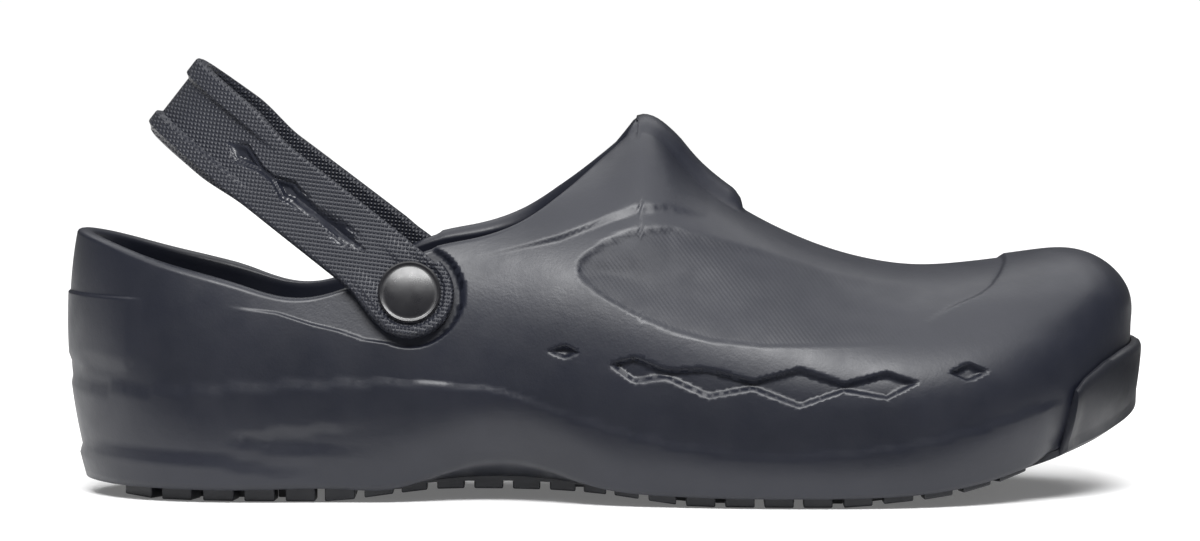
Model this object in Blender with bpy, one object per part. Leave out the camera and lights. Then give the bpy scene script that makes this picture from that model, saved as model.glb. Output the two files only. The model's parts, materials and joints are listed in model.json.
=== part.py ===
"""Chef clog, right shoe. Metres, +Z up, toe along +X, inner side of the foot along +Y.

The origin is the bottom centre of the shoe's box. Tables hold shares of the named sizes.
"""
import bmesh
import bpy
import numpy as np
from mathutils import Vector, geometry

# Driving sizes of the shoe
LENGTH = 0.295
BALL_WIDTH = 0.108
HEEL_WIDTH = 0.074
INSTEP_HEIGHT = 0.103
GAP = 0.0003

# Walls and layers
WALL = 0.005
INSOLE_THICKNESS = 0.004
INSOLE_EDGE_GAP = 0.0012
INSOLE_CUP = 0.002
SLAB = 0.0022
BUMPER_THICKNESS = 0.0029
BUMPER_END_THICKNESS = 0.0016
SOLE_MARGIN = 0.0028
ARCH_MARGIN = 0.013
RIM_ROLL = 0.0012

# Depths of the steps in the body's wall
CHAIN_DEPTH = 0.0021
CHAIN_WALL = 0.0011
PANEL_DEPTH = 0.0010
PANEL_WALL = 0.0012
PANEL_DISH = 0.0020
PANEL_DISH_WIDTH = 0.012
CAP_STEP = 0.0010
CAP_WALL = 0.0014
CAP_LOW_ROW = 0.62
SIDE_STEP = 0.0006
SIDE_STEP_WALL = 0.0007
FOOT_LEDGE = 0.0012
HEEL_TAB_STEP = 0.0006
NOTCH_DEPTH = 0.0010
NOTCH_WALL = 0.0010
CREASE_STEP = 0.0010
RIB_HEIGHT = 0.0036
RIB_HALF_WIDTH = 0.0085
PEAK_FALL = 3.0

# Strap and rivets
PIVOT_X = 0.0943
PIVOT_SHARE = 0.5534
PIVOT_Z = PIVOT_SHARE * INSTEP_HEIGHT
SEAT_LEAN = np.radians(15.0)
SEAT_DEPTH = 0.0022
SEAT_RADIUS = 0.0148
SEAT_WALL = 0.0010
STRAP_ANGLE = np.radians(38.0)
STRAP_WIDTH = 0.0204
STRAP_THICKNESS = 0.0042
STRAP_REACH = 0.085
STRAP_STRAIGHT = 0.040
STRAP_SQUARENESS = 0.85
STRAP_ROWS = 15
STRAIGHT_ROWS = 4
BAND_RAISE = 0.0002
PAD_START = 0.60
STRAP_OFFSET = 0.0011
RING_RADIUS = 0.0120
RING_RAISE = 0.0008
PAD_LOW = -0.0105
PAD_HIGH = 0.0133
PAD_RECESS = 0.0015
RIVET_HEAD_RADIUS = 0.0085
RIVET_HEAD_HEIGHT = 0.0016
RIVET_SHANK_RADIUS = 0.0035
RIVET_INNER_RADIUS = 0.0070
RIVET_INNER_HEIGHT = 0.0014

# Tread
LUG_LENGTH = 0.0078
LUG_GAP = 0.0028
LUG_WIDTH = 0.0075
LUG_SINK = 0.0008
LUG_INSET = 0.0008
LUG_START = 0.030
LUG_END = 0.930
BAR_START = 0.108
BAR_END = 0.880
BAR_LENGTH = 0.0082
BAR_WIDTH = 0.0190
BAR_GAP = 0.0050

# Mesh rows
STATIONS = 48
WALL_ROWS = 3
TOP_ROWS = 8
INNER_ROWS = 4
FLOOR_ROWS = 2

BODY_LENGTH = LENGTH - BUMPER_THICKNESS - GAP
LATERAL = -1
MEDIAL = 1


def columns(names, rows):
    """A short table as one array for each named column."""
    return dict(zip(names.split(), np.array(rows, float).T))


# Plan of the last: stations as shares of the body's length, half widths as shares of the local width
PLAN = columns("station spine lateral centre medial", (
    (0.000, 0.103, 0.000, 0.000, 0.000),
    (0.017, 0.107, 0.208, 0.000, 0.208),
    (0.048, 0.118, 0.345, 0.000, 0.345),
    (0.103, 0.144, 0.459, 0.000, 0.458),
    (0.171, 0.188, 0.503, 0.000, 0.495),
    (0.257, 0.261, 0.501, 0.000, 0.468),
    (0.343, 0.343, 0.483, 0.000, 0.440),
    (0.428, 0.428, 0.481, 0.005, 0.434),
    (0.514, 0.514, 0.490, 0.012, 0.449),
    (0.600, 0.600, 0.497, 0.019, 0.469),
    (0.685, 0.685, 0.500, 0.028, 0.491),
    (0.771, 0.762, 0.490, 0.039, 0.501),
    (0.840, 0.810, 0.451, 0.050, 0.497),
    (0.891, 0.840, 0.395, 0.058, 0.470),
    (0.932, 0.858, 0.323, 0.065, 0.424),
    (0.963, 0.869, 0.241, 0.069, 0.360),
    (0.9835, 0.876, 0.153, 0.072, 0.287),
    (0.9955, 0.881, 0.061, 0.074, 0.206),
    (1.000, 0.884, -0.074, 0.074, 0.074),
))
# Heights as shares of the instep height, and the tuck of the lower wall as a share of the ball width
WALLS = columns("station widest edge tread tuck fullness floor", (
    (0.000, 0.456, 0.050, 0.048, 0.056, 2.10, 0.190),
    (0.048, 0.427, 0.041, 0.039, 0.051, 2.10, 0.188),
    (0.103, 0.398, 0.039, 0.037, 0.046, 2.10, 0.186),
    (0.171, 0.369, 0.039, 0.037, 0.046, 2.10, 0.182),
    (0.257, 0.350, 0.039, 0.037, 0.051, 2.10, 0.172),
    (0.308, 0.335, 0.040, 0.039, 0.060, 2.10, 0.162),
    (0.343, 0.325, 0.071, 0.043, 0.069, 2.10, 0.156),
    (0.384, 0.320, 0.109, 0.045, 0.083, 2.10, 0.148),
    (0.415, 0.320, 0.115, 0.046, 0.088, 2.10, 0.142),
    (0.456, 0.316, 0.092, 0.045, 0.079, 2.08, 0.132),
    (0.483, 0.311, 0.063, 0.043, 0.069, 2.06, 0.126),
    (0.514, 0.306, 0.043, 0.039, 0.060, 2.04, 0.120),
    (0.555, 0.296, 0.034, 0.033, 0.056, 2.02, 0.112),
    (0.600, 0.282, 0.030, 0.030, 0.051, 2.00, 0.106),
    (0.685, 0.262, 0.029, 0.029, 0.046, 2.00, 0.100),
    (0.771, 0.262, 0.034, 0.034, 0.046, 2.02, 0.104),
    (0.840, 0.277, 0.055, 0.054, 0.051, 2.06, 0.130),
    (0.891, 0.301, 0.091, 0.088, 0.056, 2.10, 0.166),
    (0.932, 0.340, 0.130, 0.126, 0.056, 2.12, 0.208),
    (0.963, 0.388, 0.163, 0.158, 0.046, 2.12, 0.262),
    (0.9835, 0.427, 0.193, 0.186, 0.034, 2.10, 0.330),
    (0.9955, 0.451, 0.222, 0.211, 0.022, 2.10, 0.352),
    (1.000, 0.466, 0.252, 0.232, 0.013, 2.10, 0.355),
))
# Centre line of the last's top; behind the peak it only guides the walls up to the rim
CROWN = columns("station height", (
    (0.000, 1.060), (0.171, 0.970), (0.343, 0.883), (0.391, 0.866), (0.428, 0.850), (0.452, 0.854),
    (0.473, 0.870), (0.495, 0.896), (0.525, 0.960), (0.539, 0.978), (0.555, 0.948), (0.577, 0.876),
    (0.601, 0.815), (0.635, 0.750), (0.677, 0.688), (0.7145, 0.646), (0.752, 0.617), (0.7985, 0.600),
    (0.840, 0.605), (0.880, 0.618), (0.910, 0.633), (0.940, 0.655), (0.970, 0.670), (1.000, 0.672),
))
# The same line without the tab's peak, which the walls follow away from the centre
BACKBONE = columns("station height", (
    (0.000, 1.060), (0.171, 0.970), (0.343, 0.882), (0.428, 0.872), (0.500, 0.868), (0.560, 0.835),
    (0.620, 0.765), (0.677, 0.690), (0.7145, 0.646), (0.752, 0.617), (0.7985, 0.600), (0.840, 0.605),
    (0.880, 0.618), (0.910, 0.633), (0.940, 0.655), (0.970, 0.670), (1.000, 0.672),
))
RIM = columns("station height", (
    (0.000, 0.705), (0.0425, 0.664), (0.091, 0.619), (0.1676, 0.560), (0.2125, 0.532), (0.258, 0.556),
    (0.3016, 0.612), (0.343, 0.665), (0.391, 0.697), (0.430, 0.738), (0.4736, 0.818), (0.512, 0.909),
    (0.539, 0.978),
))
SIDE_LINE = columns("station height", (
    (0.000, 0.301), (0.092, 0.302), (0.168, 0.313), (0.268, 0.326), (0.342, 0.329), (0.369, 0.322),
    (0.405, 0.309), (0.452, 0.265), (0.502, 0.220), (0.573, 0.172), (0.646, 0.150), (0.718, 0.152),
    (0.790, 0.179), (0.862, 0.226), (0.898, 0.258), (0.940, 0.280), (1.000, 0.290),
))
LEDGE_LINE = columns("station height reach", (
    (0.000, 0.130, 1.0), (0.125, 0.128, 1.0), (0.191, 0.093, 0.8), (0.260, 0.070, 0.0),
    (1.000, 0.070, 0.0),
))
# Underside of the lugs above the ground
GROUND = columns("station height", (
    (0.000, 0.038), (0.022, 0.024), (0.044, 0.009), (0.072, 0.000), (0.257, 0.000), (0.295, 0.016),
    (0.343, 0.024), (0.480, 0.024), (0.520, 0.022), (0.583, 0.000), (0.737, 0.000), (0.765, 0.011),
    (0.799, 0.019), (0.831, 0.031), (0.873, 0.060), (0.908, 0.097), (0.950, 0.140), (0.986, 0.182),
    (1.000, 0.225),
))
# Lozenge recesses along the side: centre height and half height at each station
STRANDS = (
    columns("station height half", ((0.449, 0.410, 0.0), (0.466, 0.410, 0.0194), (0.483, 0.410, 0.0))),
    columns("station height half", (
        (0.505, 0.381, 0.000), (0.530, 0.366, 0.035), (0.559, 0.356, 0.012), (0.598, 0.334, 0.040),
        (0.639, 0.329, 0.012), (0.682, 0.322, 0.052), (0.723, 0.324, 0.012), (0.7625, 0.3275, 0.036),
        (0.793, 0.335, 0.000),
    )),
    columns("station height half", ((0.818, 0.358, 0.0), (0.8385, 0.3586, 0.026), (0.859, 0.360, 0.0))),
)
# Side panel: its lower and upper edges, and how deep the recess is
PANEL = columns("station lower upper depth", (
    (0.478, 0.610, 0.640, 0.9), (0.488, 0.580, 0.665, 1.0), (0.505, 0.545, 0.697, 1.0),
    (0.530, 0.507, 0.722, 1.0), (0.565, 0.466, 0.728, 1.0), (0.600, 0.440, 0.700, 0.9),
    (0.650, 0.425, 0.664, 0.6), (0.720, 0.425, 0.600, 0.3), (0.800, 0.430, 0.560, 0.0),
))
# Front cap: how far forward its edge lies at each height
CAP_LINE = columns("height station", (
    (0.000, 0.790), (0.480, 0.798), (0.515, 0.822), (0.540, 0.848), (0.560, 0.860), (0.584, 0.869),
    (0.612, 0.877), (0.700, 0.882),
))
# Lower edge of the raised instep tab
CREASE_LINE = columns("station height reach", (
    (0.380, 0.640, 0.0), (0.430, 0.672, 0.4), (0.462, 0.692, 1.0), (0.500, 0.732, 1.0),
    (0.530, 0.765, 1.0), (0.560, 0.768, 0.8), (0.600, 0.740, 0.0),
))
# Rib on the tab: share of its full height
RIB = columns("station height", (
    (0.500, 0.00), (0.539, 0.55), (0.565, 0.90), (0.600, 1.00), (0.619, 0.95), (0.628, 0.60),
    (0.634, 0.00),
))
# Wedge-shaped recess low on the heel's side
NOTCH = columns("station lower upper depth", (
    (0.150, 0.169, 0.173, 0.6), (0.191, 0.147, 0.190, 1.0), (0.231, 0.138, 0.203, 0.8),
    (0.265, 0.134, 0.210, 0.3), (0.300, 0.130, 0.214, 0.0),
))
# Lower edge of the flat that runs back from the strap seat to the rim, and how far it is pressed in
SEAT_TAIL = columns("station height reach", (
    (0.150, 0.520, 0.0), (0.163, 0.512, 0.1), (0.200, 0.500, 0.6), (0.231, 0.472, 1.0), (0.258, 0.454, 1.0),
    (0.281, 0.431, 1.0), (0.325, 0.415, 1.0),
))
# Patch across the back of the heel: its lower and upper edges
HEEL_TAB = columns("station lower upper depth", (
    (0.000, 0.36, 0.54, 1.0), (0.060, 0.36, 0.54, 1.0), (0.075, 0.40, 0.54, 0.0), (1.000, 0.40, 0.54, 0.0),
))
# Height of the bumper's top edge at each outline station
BUMPER_START = 0.9375
BUMPER_EASE = 0.010
BUMPER_TOP = columns("station height", (
    (0.9375, 0.300), (0.948, 0.330), (0.965, 0.365), (0.985, 0.392), (1.000, 0.404),
))


# Section of the strap: how far up it, how far out, and whether the pad's recess sinks it
BAND_SECTION = (
    (0.00, 0, 0), (0.00, 1, 0), (0.24, 1, 0), (0.28, 1, 1), (0.70, 1, 1), (0.74, 1, 0), (1.00, 1, 0),
    (1.00, 0, 0), (0.00, 0, 0),
)


def turn(share):
    """Even steps of this angle are fine at the heel and toe and wide in the middle."""
    return np.arccos(np.clip(1 - 2 * np.asarray(share, float), -1, 1)) / np.pi


def smooth_curve(knots, values):
    """Natural cubic curve through the knots."""
    count = len(knots)
    step = np.diff(knots)
    slope = np.diff(values) / step
    matrix = np.eye(count)
    right = np.zeros(count)
    for i in range(1, count - 1):
        matrix[i, i - 1:i + 2] = step[i - 1], 2 * (step[i - 1] + step[i]), step[i]
        right[i] = 6 * (slope[i] - slope[i - 1])
    bend = np.linalg.solve(matrix, right)

    def value(at):
        at = np.clip(at, knots[0], knots[-1])
        i = np.clip(np.searchsorted(knots, at, side="right") - 1, 0, count - 2)
        t = at - knots[i]
        start = slope[i] - step[i] * (2 * bend[i] + bend[i + 1]) / 6
        return values[i] + t * (start + t * (bend[i] / 2 + t * (bend[i + 1] - bend[i]) / (6 * step[i])))

    return value


def along(table, name, size=1.0):
    """A column as a smooth function of the turn."""
    return smooth_curve(turn(table["station"]), table[name] * size)


def straight(table, name, x, size=1.0):
    """A column read at a distance from the heel, with straight runs between rows."""
    return np.interp(x / BODY_LENGTH, table["station"], table[name]) * size


def ease(x):
    x = np.clip(x, 0, 1)
    return x * x * (3 - 2 * x)


spine_at = along(PLAN, "spine", BODY_LENGTH)
centre_at = along(PLAN, "centre")
half_at = {LATERAL: along(PLAN, "lateral"), MEDIAL: along(PLAN, "medial")}
widest_at = along(WALLS, "widest", INSTEP_HEIGHT)
edge_at = along(WALLS, "edge", INSTEP_HEIGHT)
tread_at = along(WALLS, "tread", INSTEP_HEIGHT)
tuck_at = along(WALLS, "tuck", BALL_WIDTH)
fullness_at = along(WALLS, "fullness")
floor_at = along(WALLS, "floor", INSTEP_HEIGHT)
crown_at = along(CROWN, "height", INSTEP_HEIGHT)
backbone_at = along(BACKBONE, "height", INSTEP_HEIGHT)
rim_at = along(RIM, "height", INSTEP_HEIGHT)
side_line_at = along(SIDE_LINE, "height", INSTEP_HEIGHT)
TURN_DECIMALS = 6
PEAK_TURN = round(float(turn(RIM["station"][-1])), TURN_DECIMALS)


def by_x(curve, x):
    return curve(turn(x / BODY_LENGTH))


def width_unit(s):
    """Local width: the heel's, then the ball's."""
    station = (1 - np.cos(np.pi * s)) / 2
    return HEEL_WIDTH + (BALL_WIDTH - HEEL_WIDTH) * ease((station - 0.171) / 0.514)


def plan_rays(side, s):
    """Spine points and the rays from them to the widest outline."""
    unit = width_unit(s)
    middle = centre_at(s) * unit
    outline = np.stack([BODY_LENGTH * (1 - np.cos(np.pi * s)) / 2, side * half_at[side](s) * unit], -1)
    spine = np.stack([spine_at(s), middle], -1)
    return spine, outline - spine


def lifted_edge(s):
    """The body's lower edge makes room for the tread slab where the bumper wraps it."""
    station = (1 - np.cos(np.pi * s)) / 2
    return edge_at(s) + SLAB * ease((station - 0.90) / 0.035)


def top_at(x, across):
    """Height that the sections aim for: the crown near the centre line, the backbone beside it."""
    backbone = by_x(backbone_at, x)
    near = np.clip(1 - across ** 2, 0, 1) ** PEAK_FALL
    return backbone + (by_x(crown_at, x) - backbone) * near


def upper_angle(side, s, shrink, drop):
    """Largest section angle: up to the rim behind the peak, up to the centre line ahead of it."""
    spine, ray = plan_rays(side, s)
    reach = np.linalg.norm(ray, axis=-1)
    power = fullness_at(s)
    inner = (reach - shrink) / reach
    low = widest_at(s)
    under = np.zeros(np.shape(s))
    over = np.full(np.shape(s), np.pi / 2)
    for _ in range(30):
        angle = (under + over) / 2
        across = inner * np.cos(angle) ** (2 / power)
        x = spine[..., 0] + ray[..., 0] * across
        height = low + (top_at(x, across) - shrink - low) * np.sin(angle) ** (2 / power)
        below = height < by_x(rim_at, x) - drop(x)
        under = np.where(below, angle, under)
        over = np.where(below, over, angle)
    return np.where(s >= PEAK_TURN - 1e-9, np.pi / 2, angle)


def rim_drop(x):
    """The inner rim lies beside the outer one at the heel and under it at the peak."""
    return WALL * ease((x / BODY_LENGTH - 0.20) / (float(RIM["station"][-1]) - 0.20))


def no_drop(x):
    return 0 * x


def last_point(side, s, v, shrink=0.0, drop=no_drop):
    """A point of the last: v from -1 at the underside's centre, 0 at the edge, to 1 at the rim or crown.

    The lower wall takes v up to WALL_SHARE.
    """
    s, v = np.broadcast_arrays(np.asarray(s, float), np.asarray(v, float))
    spine, ray = plan_rays(side, s)
    reach = np.linalg.norm(ray, axis=-1)
    power = fullness_at(s)
    low = widest_at(s)
    bottom = lifted_edge(s)
    up = np.clip((v - WALL_SHARE) / (1 - WALL_SHARE), 0, 1)
    angle = up * upper_angle(side, s, shrink, drop)
    down = np.clip(1 - np.clip(v, 0, 1) / WALL_SHARE, 0, 1)
    tucked = (reach - shrink - tuck_at(s) * down ** 2) / reach
    across = np.where(v >= WALL_SHARE, (reach - shrink) / reach * np.cos(angle) ** (2 / power), tucked)
    across = across * np.where(v < 0, 1 + v, 1)
    x = spine[..., 0] + ray[..., 0] * across
    y = spine[..., 1] + ray[..., 1] * across
    top = low + (top_at(x, across) - shrink - low) * np.sin(angle) ** (2 / power)
    z = np.where(v >= WALL_SHARE, top, low - (low - bottom) * down)
    return np.stack([x, y, z], -1)


WALL_SHARE = 0.30


def side_normal(side, s, v):
    """Outward normals of one side by small differences."""
    step = 1e-4
    v = np.clip(v, step, 1 - step)
    s = np.clip(s, step, 1 - step)
    along_s = last_point(side, s + step, v) - last_point(side, s - step, v)
    along_v = last_point(side, s, v + step) - last_point(side, s, v - step)
    normal = np.cross(along_s, along_v) * -side
    return normal / np.maximum(np.linalg.norm(normal, axis=-1, keepdims=True), 1e-12)


def last_normal(side, s, v):
    """Outward normals, which both sides share where they meet on the centre line."""
    s, v = np.broadcast_arrays(np.asarray(s, float), np.asarray(v, float))
    normal = side_normal(side, s, v)
    ends = (s == 0) | (s == 1)
    shared = (normal + side_normal(-side, s, v)) * [1, 0, 1]
    normal = np.where(ends[..., None], shared, normal)
    x = last_point(side, s, v)[..., 0]
    step = 1e-5
    slope = (by_x(crown_at, x + step) - by_x(crown_at, x - step)) / (2 * step)
    crest = np.stack([-slope, 0 * slope, 1 + 0 * slope], -1)
    normal = np.where(((v == 1) & (s >= PEAK_TURN))[..., None], crest, normal)
    return normal / np.maximum(np.linalg.norm(normal, axis=-1, keepdims=True), 1e-12)


def relief(side, s, v, point):
    """How far the wall stands out of the plain last at each point, from its steps and recesses."""
    x = point[..., 0]
    y = point[..., 1]
    z = point[..., 2]
    station = x / BODY_LENGTH
    off_centre = np.abs(y - centre_at(s) * width_unit(s))
    out = SIDE_STEP * ease((by_x(side_line_at, x) - z) / SIDE_STEP_WALL) * ease((0.935 - station) / 0.03)
    ledge = straight(LEDGE_LINE, "height", x, INSTEP_HEIGHT)
    out = out + FOOT_LEDGE * straight(LEDGE_LINE, "reach", x) * ease((ledge - z) / FOOT_LEDGE)
    for strand in STRANDS:
        middle = straight(strand, "height", x, INSTEP_HEIGHT)
        inside = straight(strand, "half", x, INSTEP_HEIGHT) - np.abs(z - middle)
        out = out - CHAIN_DEPTH * np.clip(inside / CHAIN_WALL, 0, 1)
    for area, depth, wall in ((PANEL, -PANEL_DEPTH, PANEL_WALL), (NOTCH, -NOTCH_DEPTH, NOTCH_WALL),
                              (HEEL_TAB, HEEL_TAB_STEP, HEEL_TAB_STEP)):
        below = z - straight(area, "lower", x, INSTEP_HEIGHT)
        above = straight(area, "upper", x, INSTEP_HEIGHT) - z
        inside = np.minimum(below, above)
        if area["station"][0] > 0:
            inside = np.minimum(inside, (station - area["station"][0]) * BODY_LENGTH)
        share = straight(area, "depth", x)
        out = out + depth * share * ease(inside / wall)
        if area is PANEL:
            out = out - PANEL_DISH * share * ease(inside / PANEL_DISH_WIDTH)
    cap = (station - np.interp(z / INSTEP_HEIGHT, CAP_LINE["height"], CAP_LINE["station"])) * BODY_LENGTH
    out = out + CAP_STEP * ease(cap / CAP_WALL) * ease((z / INSTEP_HEIGHT - 0.44) / 0.10)
    crease = z - straight(CREASE_LINE, "height", x, INSTEP_HEIGHT)
    out = out + CREASE_STEP * straight(CREASE_LINE, "reach", x) * ease(crease / CREASE_STEP)
    rib = straight(RIB, "height", x, RIB_HEIGHT)
    out = out + rib * np.sqrt(np.clip(1 - (off_centre / RIB_HALF_WIDTH) ** 2, 0, 1)) * (z > INSTEP_HEIGHT / 2)
    return out


def seat_axis(side):
    """Direction in which a strap seat faces."""
    return np.array([0.0, side * np.cos(SEAT_LEAN), np.sin(SEAT_LEAN)])


def seat_centre(side):
    """Where the rivet's axis meets the seat."""
    s, v = locate(side, PIVOT_X, PIVOT_Z)
    return last_point(side, s, v) - SEAT_DEPTH * seat_axis(side)


def press_seat(side, point):
    """The wall round the rivet is pressed flat, within a round step, and fades out behind it."""
    axis = seat_axis(side)
    away = point - SEAT_CENTRE[side]
    height = away @ axis
    flat = away - height[..., None] * axis
    radius = np.linalg.norm(flat, axis=-1)
    inside = ease((SEAT_RADIUS - radius) / SEAT_WALL)
    x = point[..., 0]
    tail = ease((point[..., 2] - straight(SEAT_TAIL, "height", x, INSTEP_HEIGHT)) / SEAT_WALL)
    tail = tail * straight(SEAT_TAIL, "reach", x) * (x < PIVOT_X)
    return point - (np.clip(height, 0, None) * np.maximum(inside, tail))[..., None] * axis


def skin(side, s, v):
    """The body's finished outer face."""
    point = last_point(side, s, v)
    raised = relief(side, s, v, point)
    return press_seat(side, point + last_normal(side, s, v) * raised[..., None])


def locate(side, x, z):
    """The turn and v of the wall point that lies at x and z seen square from the side."""
    x, z = np.broadcast_arrays(np.atleast_1d(np.asarray(x, float)), np.atleast_1d(np.asarray(z, float)))
    s = turn(x / BODY_LENGTH)
    v = np.full(s.shape, 0.5)
    step = 1e-4
    for _ in range(25):
        here = last_point(side, s, v)
        by_s = (last_point(side, s + step, v) - here)[..., [0, 2]] / step
        by_v = (last_point(side, s, v + step) - here)[..., [0, 2]] / step
        miss = np.stack([x - here[..., 0], z - here[..., 2]], -1)
        scale = by_s[..., 0] * by_v[..., 1] - by_s[..., 1] * by_v[..., 0]
        ds = (miss[..., 0] * by_v[..., 1] - miss[..., 1] * by_v[..., 0]) / scale
        dv = (by_s[..., 0] * miss[..., 1] - by_s[..., 1] * miss[..., 0]) / scale
        s = np.clip(s + np.clip(ds, -0.05, 0.05), 0.001, 0.999)
        v = np.clip(v + np.clip(dv, -0.08, 0.08), 0.001, 0.999)
    return s, v


SEAT_CENTRE = {side: seat_centre(side)[0] for side in (LATERAL, MEDIAL)}
MIDDLE = LENGTH / 2 - HEEL_TAB_STEP


def material(name, colour, roughness, metallic=0.0):
    made = bpy.data.materials.new(name)
    made.use_nodes = True
    shader = made.node_tree.nodes["Principled BSDF"]
    shader.inputs["Base Color"].default_value = (*colour, 1)
    shader.inputs["Roughness"].default_value = roughness
    shader.inputs["Metallic"].default_value = metallic
    made.diffuse_color = (*colour, 1)
    return made


def solid(name, points, faces, finish):
    """One closed object from loose faces whose shared points are merged."""
    mesh = bpy.data.meshes.new(name)
    shape = bmesh.new()
    made = [shape.verts.new((x - MIDDLE, y, z)) for x, y, z in points]
    for face in faces:
        shape.faces.new([made[i] for i in face])
    bmesh.ops.remove_doubles(shape, verts=shape.verts, dist=2e-6)
    bmesh.ops.dissolve_degenerate(shape, edges=shape.edges, dist=2e-6)
    bmesh.ops.recalc_face_normals(shape, faces=shape.faces)
    shape.to_mesh(mesh)
    shape.free()
    mesh.shade_smooth()
    mesh.set_sharp_from_angle(angle=np.radians(40))
    mesh.materials.append(finish)
    made_object = bpy.data.objects.new(name, mesh)
    bpy.context.scene.collection.objects.link(made_object)
    return made_object


class Patches:
    """Collects grids and triangles of points for one solid."""

    def __init__(self):
        self.points = []
        self.faces = []

    def grid(self, rows):
        """Quads over an array of points, rows by columns."""
        first = len(self.points)
        count, width = rows.shape[:2]
        self.points.extend(rows.reshape(-1, 3))
        for i in range(count - 1):
            for j in range(width - 1):
                a = first + i * width + j
                quad = (a, a + 1, a + width + 1, a + width)
                if i in (0, count - 2) and j in (0, width - 2):
                    turned = quad[1:] + quad[:1] if (i == 0) != (j == 0) else quad
                    self.faces += [turned[:3], (turned[0], turned[2], turned[3])]
                else:
                    self.faces.append(quad)

    def triangles(self, points, faces):
        first = len(self.points)
        self.points.extend(points)
        self.faces.extend(tuple(first + i for i in face) for face in faces)


def stations():
    """Turns of the sections, with one at the peak, more behind it, and two at the bumper's end."""
    even = np.linspace(0, 1, STATIONS + 1)
    marks = [PEAK_TURN, PEAK_TURN - 0.0022, PEAK_TURN - 0.009]
    marks += [turn(BUMPER_START), turn(BUMPER_START) - 0.003]
    marks = [float(mark) for mark in marks]
    kept = [s for s in even if min(abs(s - mark) for mark in marks) > 0.4 / STATIONS or s in (0, 1)]
    return np.array(sorted(kept + marks)).round(TURN_DECIMALS)


def feature_loops(side):
    """Edges of the steps, as turn and v along each, that the mesh follows."""
    found = []
    for strand in STRANDS:
        x = strand["station"] * BODY_LENGTH
        middle = strand["height"] * INSTEP_HEIGHT
        half = strand["half"] * INSTEP_HEIGHT
        for inset in (0.0, CHAIN_WALL):
            keep = half > inset
            ends = inset * 1.5
            xs = [x[0] + ends, *x[keep], x[-1] - ends]
            up = [middle[0], *(middle + half - inset)[keep], middle[-1]]
            down = [middle[0], *(middle - half + inset)[keep], middle[-1]]
            loop_x = np.array(xs + xs[-2:0:-1])
            loop_z = np.array(up + down[-2:0:-1])
            found.append((*locate(side, loop_x, loop_z), True))
    return found


def cap_turn(side, v, ahead):
    """The turn at which each row of the wall crosses the front cap's edge."""
    low = np.full(v.shape, 0.60)
    high = np.full(v.shape, 0.95)
    for _ in range(30):
        s = (low + high) / 2
        point = last_point(side, s, v)
        edge = np.interp(point[:, 2] / INSTEP_HEIGHT, CAP_LINE["height"], CAP_LINE["station"])
        behind = point[:, 0] < edge * BODY_LENGTH + ahead
        low = np.where(behind, s, low)
        high = np.where(behind, high, s)
    return s


def step_lines(side):
    """Open edges of the longer steps."""
    found = []
    x = np.linspace(0.03, 0.93, 34) * BODY_LENGTH
    for lower in (0.0, SIDE_STEP_WALL):
        found.append((*locate(side, x, by_x(side_line_at, x) - lower), False))
    for area, count, wall in ((PANEL, 7, PANEL_WALL), (NOTCH, 4, NOTCH_WALL)):
        area_x = area["station"][:count] * BODY_LENGTH
        for inset in (0.0, wall):
            low = area["lower"][:count] * INSTEP_HEIGHT + inset
            high = area["upper"][:count] * INSTEP_HEIGHT - inset
            path_x = np.concatenate([area_x[:0:-1], [area_x[0] + inset], area_x[1:]])
            path_z = np.concatenate([low[:0:-1], [(low[0] + high[0]) / 2], high[1:]])
            found.append((*locate(side, path_x, path_z), False))
    rows = np.linspace(CAP_LOW_ROW, 1, 9)
    for ahead in (0.0, CAP_WALL):
        found.append((cap_turn(side, rows, ahead), rows, False))
    angles = np.linspace(-0.68 * np.pi, 0.35 * np.pi, 14)
    for inset in (0.0, SEAT_WALL):
        ring_x = PIVOT_X + (SEAT_RADIUS - inset) * np.cos(angles)
        ring_z = PIVOT_Z + (SEAT_RADIUS - inset) * np.sin(angles) * np.cos(SEAT_LEAN)
        tail_x = SEAT_TAIL["station"][1:-1] * BODY_LENGTH
        tail_z = SEAT_TAIL["height"][1:-1] * INSTEP_HEIGHT + inset
        path_x = np.concatenate([tail_x, ring_x])
        path_z = np.concatenate([tail_z, ring_z])
        found.append((*locate(side, path_x, path_z), False))
    return found


def outer_faces(side, turns, rows):
    """Triangles of the outer wall: the sections' points and the edges of every step."""
    girth = 0.075
    grid_s, grid_v = np.meshgrid(turns, rows, indexing="ij")
    spots = np.stack([grid_s.ravel() * LENGTH, grid_v.ravel() * girth], -1)
    edge = (grid_s.ravel() < 1e-9) | (grid_s.ravel() > 1 - 1e-9)
    edge |= (grid_v.ravel() < 1e-9) | (grid_v.ravel() > 1 - 1e-9)
    lines = []
    for s, v, closed in feature_loops(side) + step_lines(side):
        path = np.stack([s * LENGTH, v * girth], -1)
        lines.append((path, closed))
    near = np.full(len(spots), 1.0)
    for path, closed in lines:
        ends = np.concatenate([path, path[:1]]) if closed else path
        for a, b in zip(ends[:-1], ends[1:]):
            t = np.clip(((spots - a) @ (b - a)) / max((b - a) @ (b - a), 1e-12), 0, 1)
            near = np.minimum(near, np.linalg.norm(spots - a - t[:, None] * (b - a), axis=-1))
    spots = spots[edge | (near > 0.0017)]
    vertices = [Vector(spot) for spot in spots]
    edges = []
    for path, closed in lines:
        first = len(vertices)
        vertices.extend(Vector(spot) for spot in path)
        edges.extend((first + i, first + i + 1) for i in range(len(path) - 1))
        if closed:
            edges.append((first + len(path) - 1, first))
    out, _, faces, _, _, _ = geometry.delaunay_2d_cdt(vertices, edges, [], 0, 1e-7)
    flat = np.array([tuple(spot) for spot in out]) / [LENGTH, girth]
    flat = flat.round(TURN_DECIMALS)
    on_seam = (flat == 1).any(1)
    faces = [face for face in faces if not all(on_seam[i] for i in face)]
    return skin(side, flat[:, 0], flat[:, 1]), faces


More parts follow.
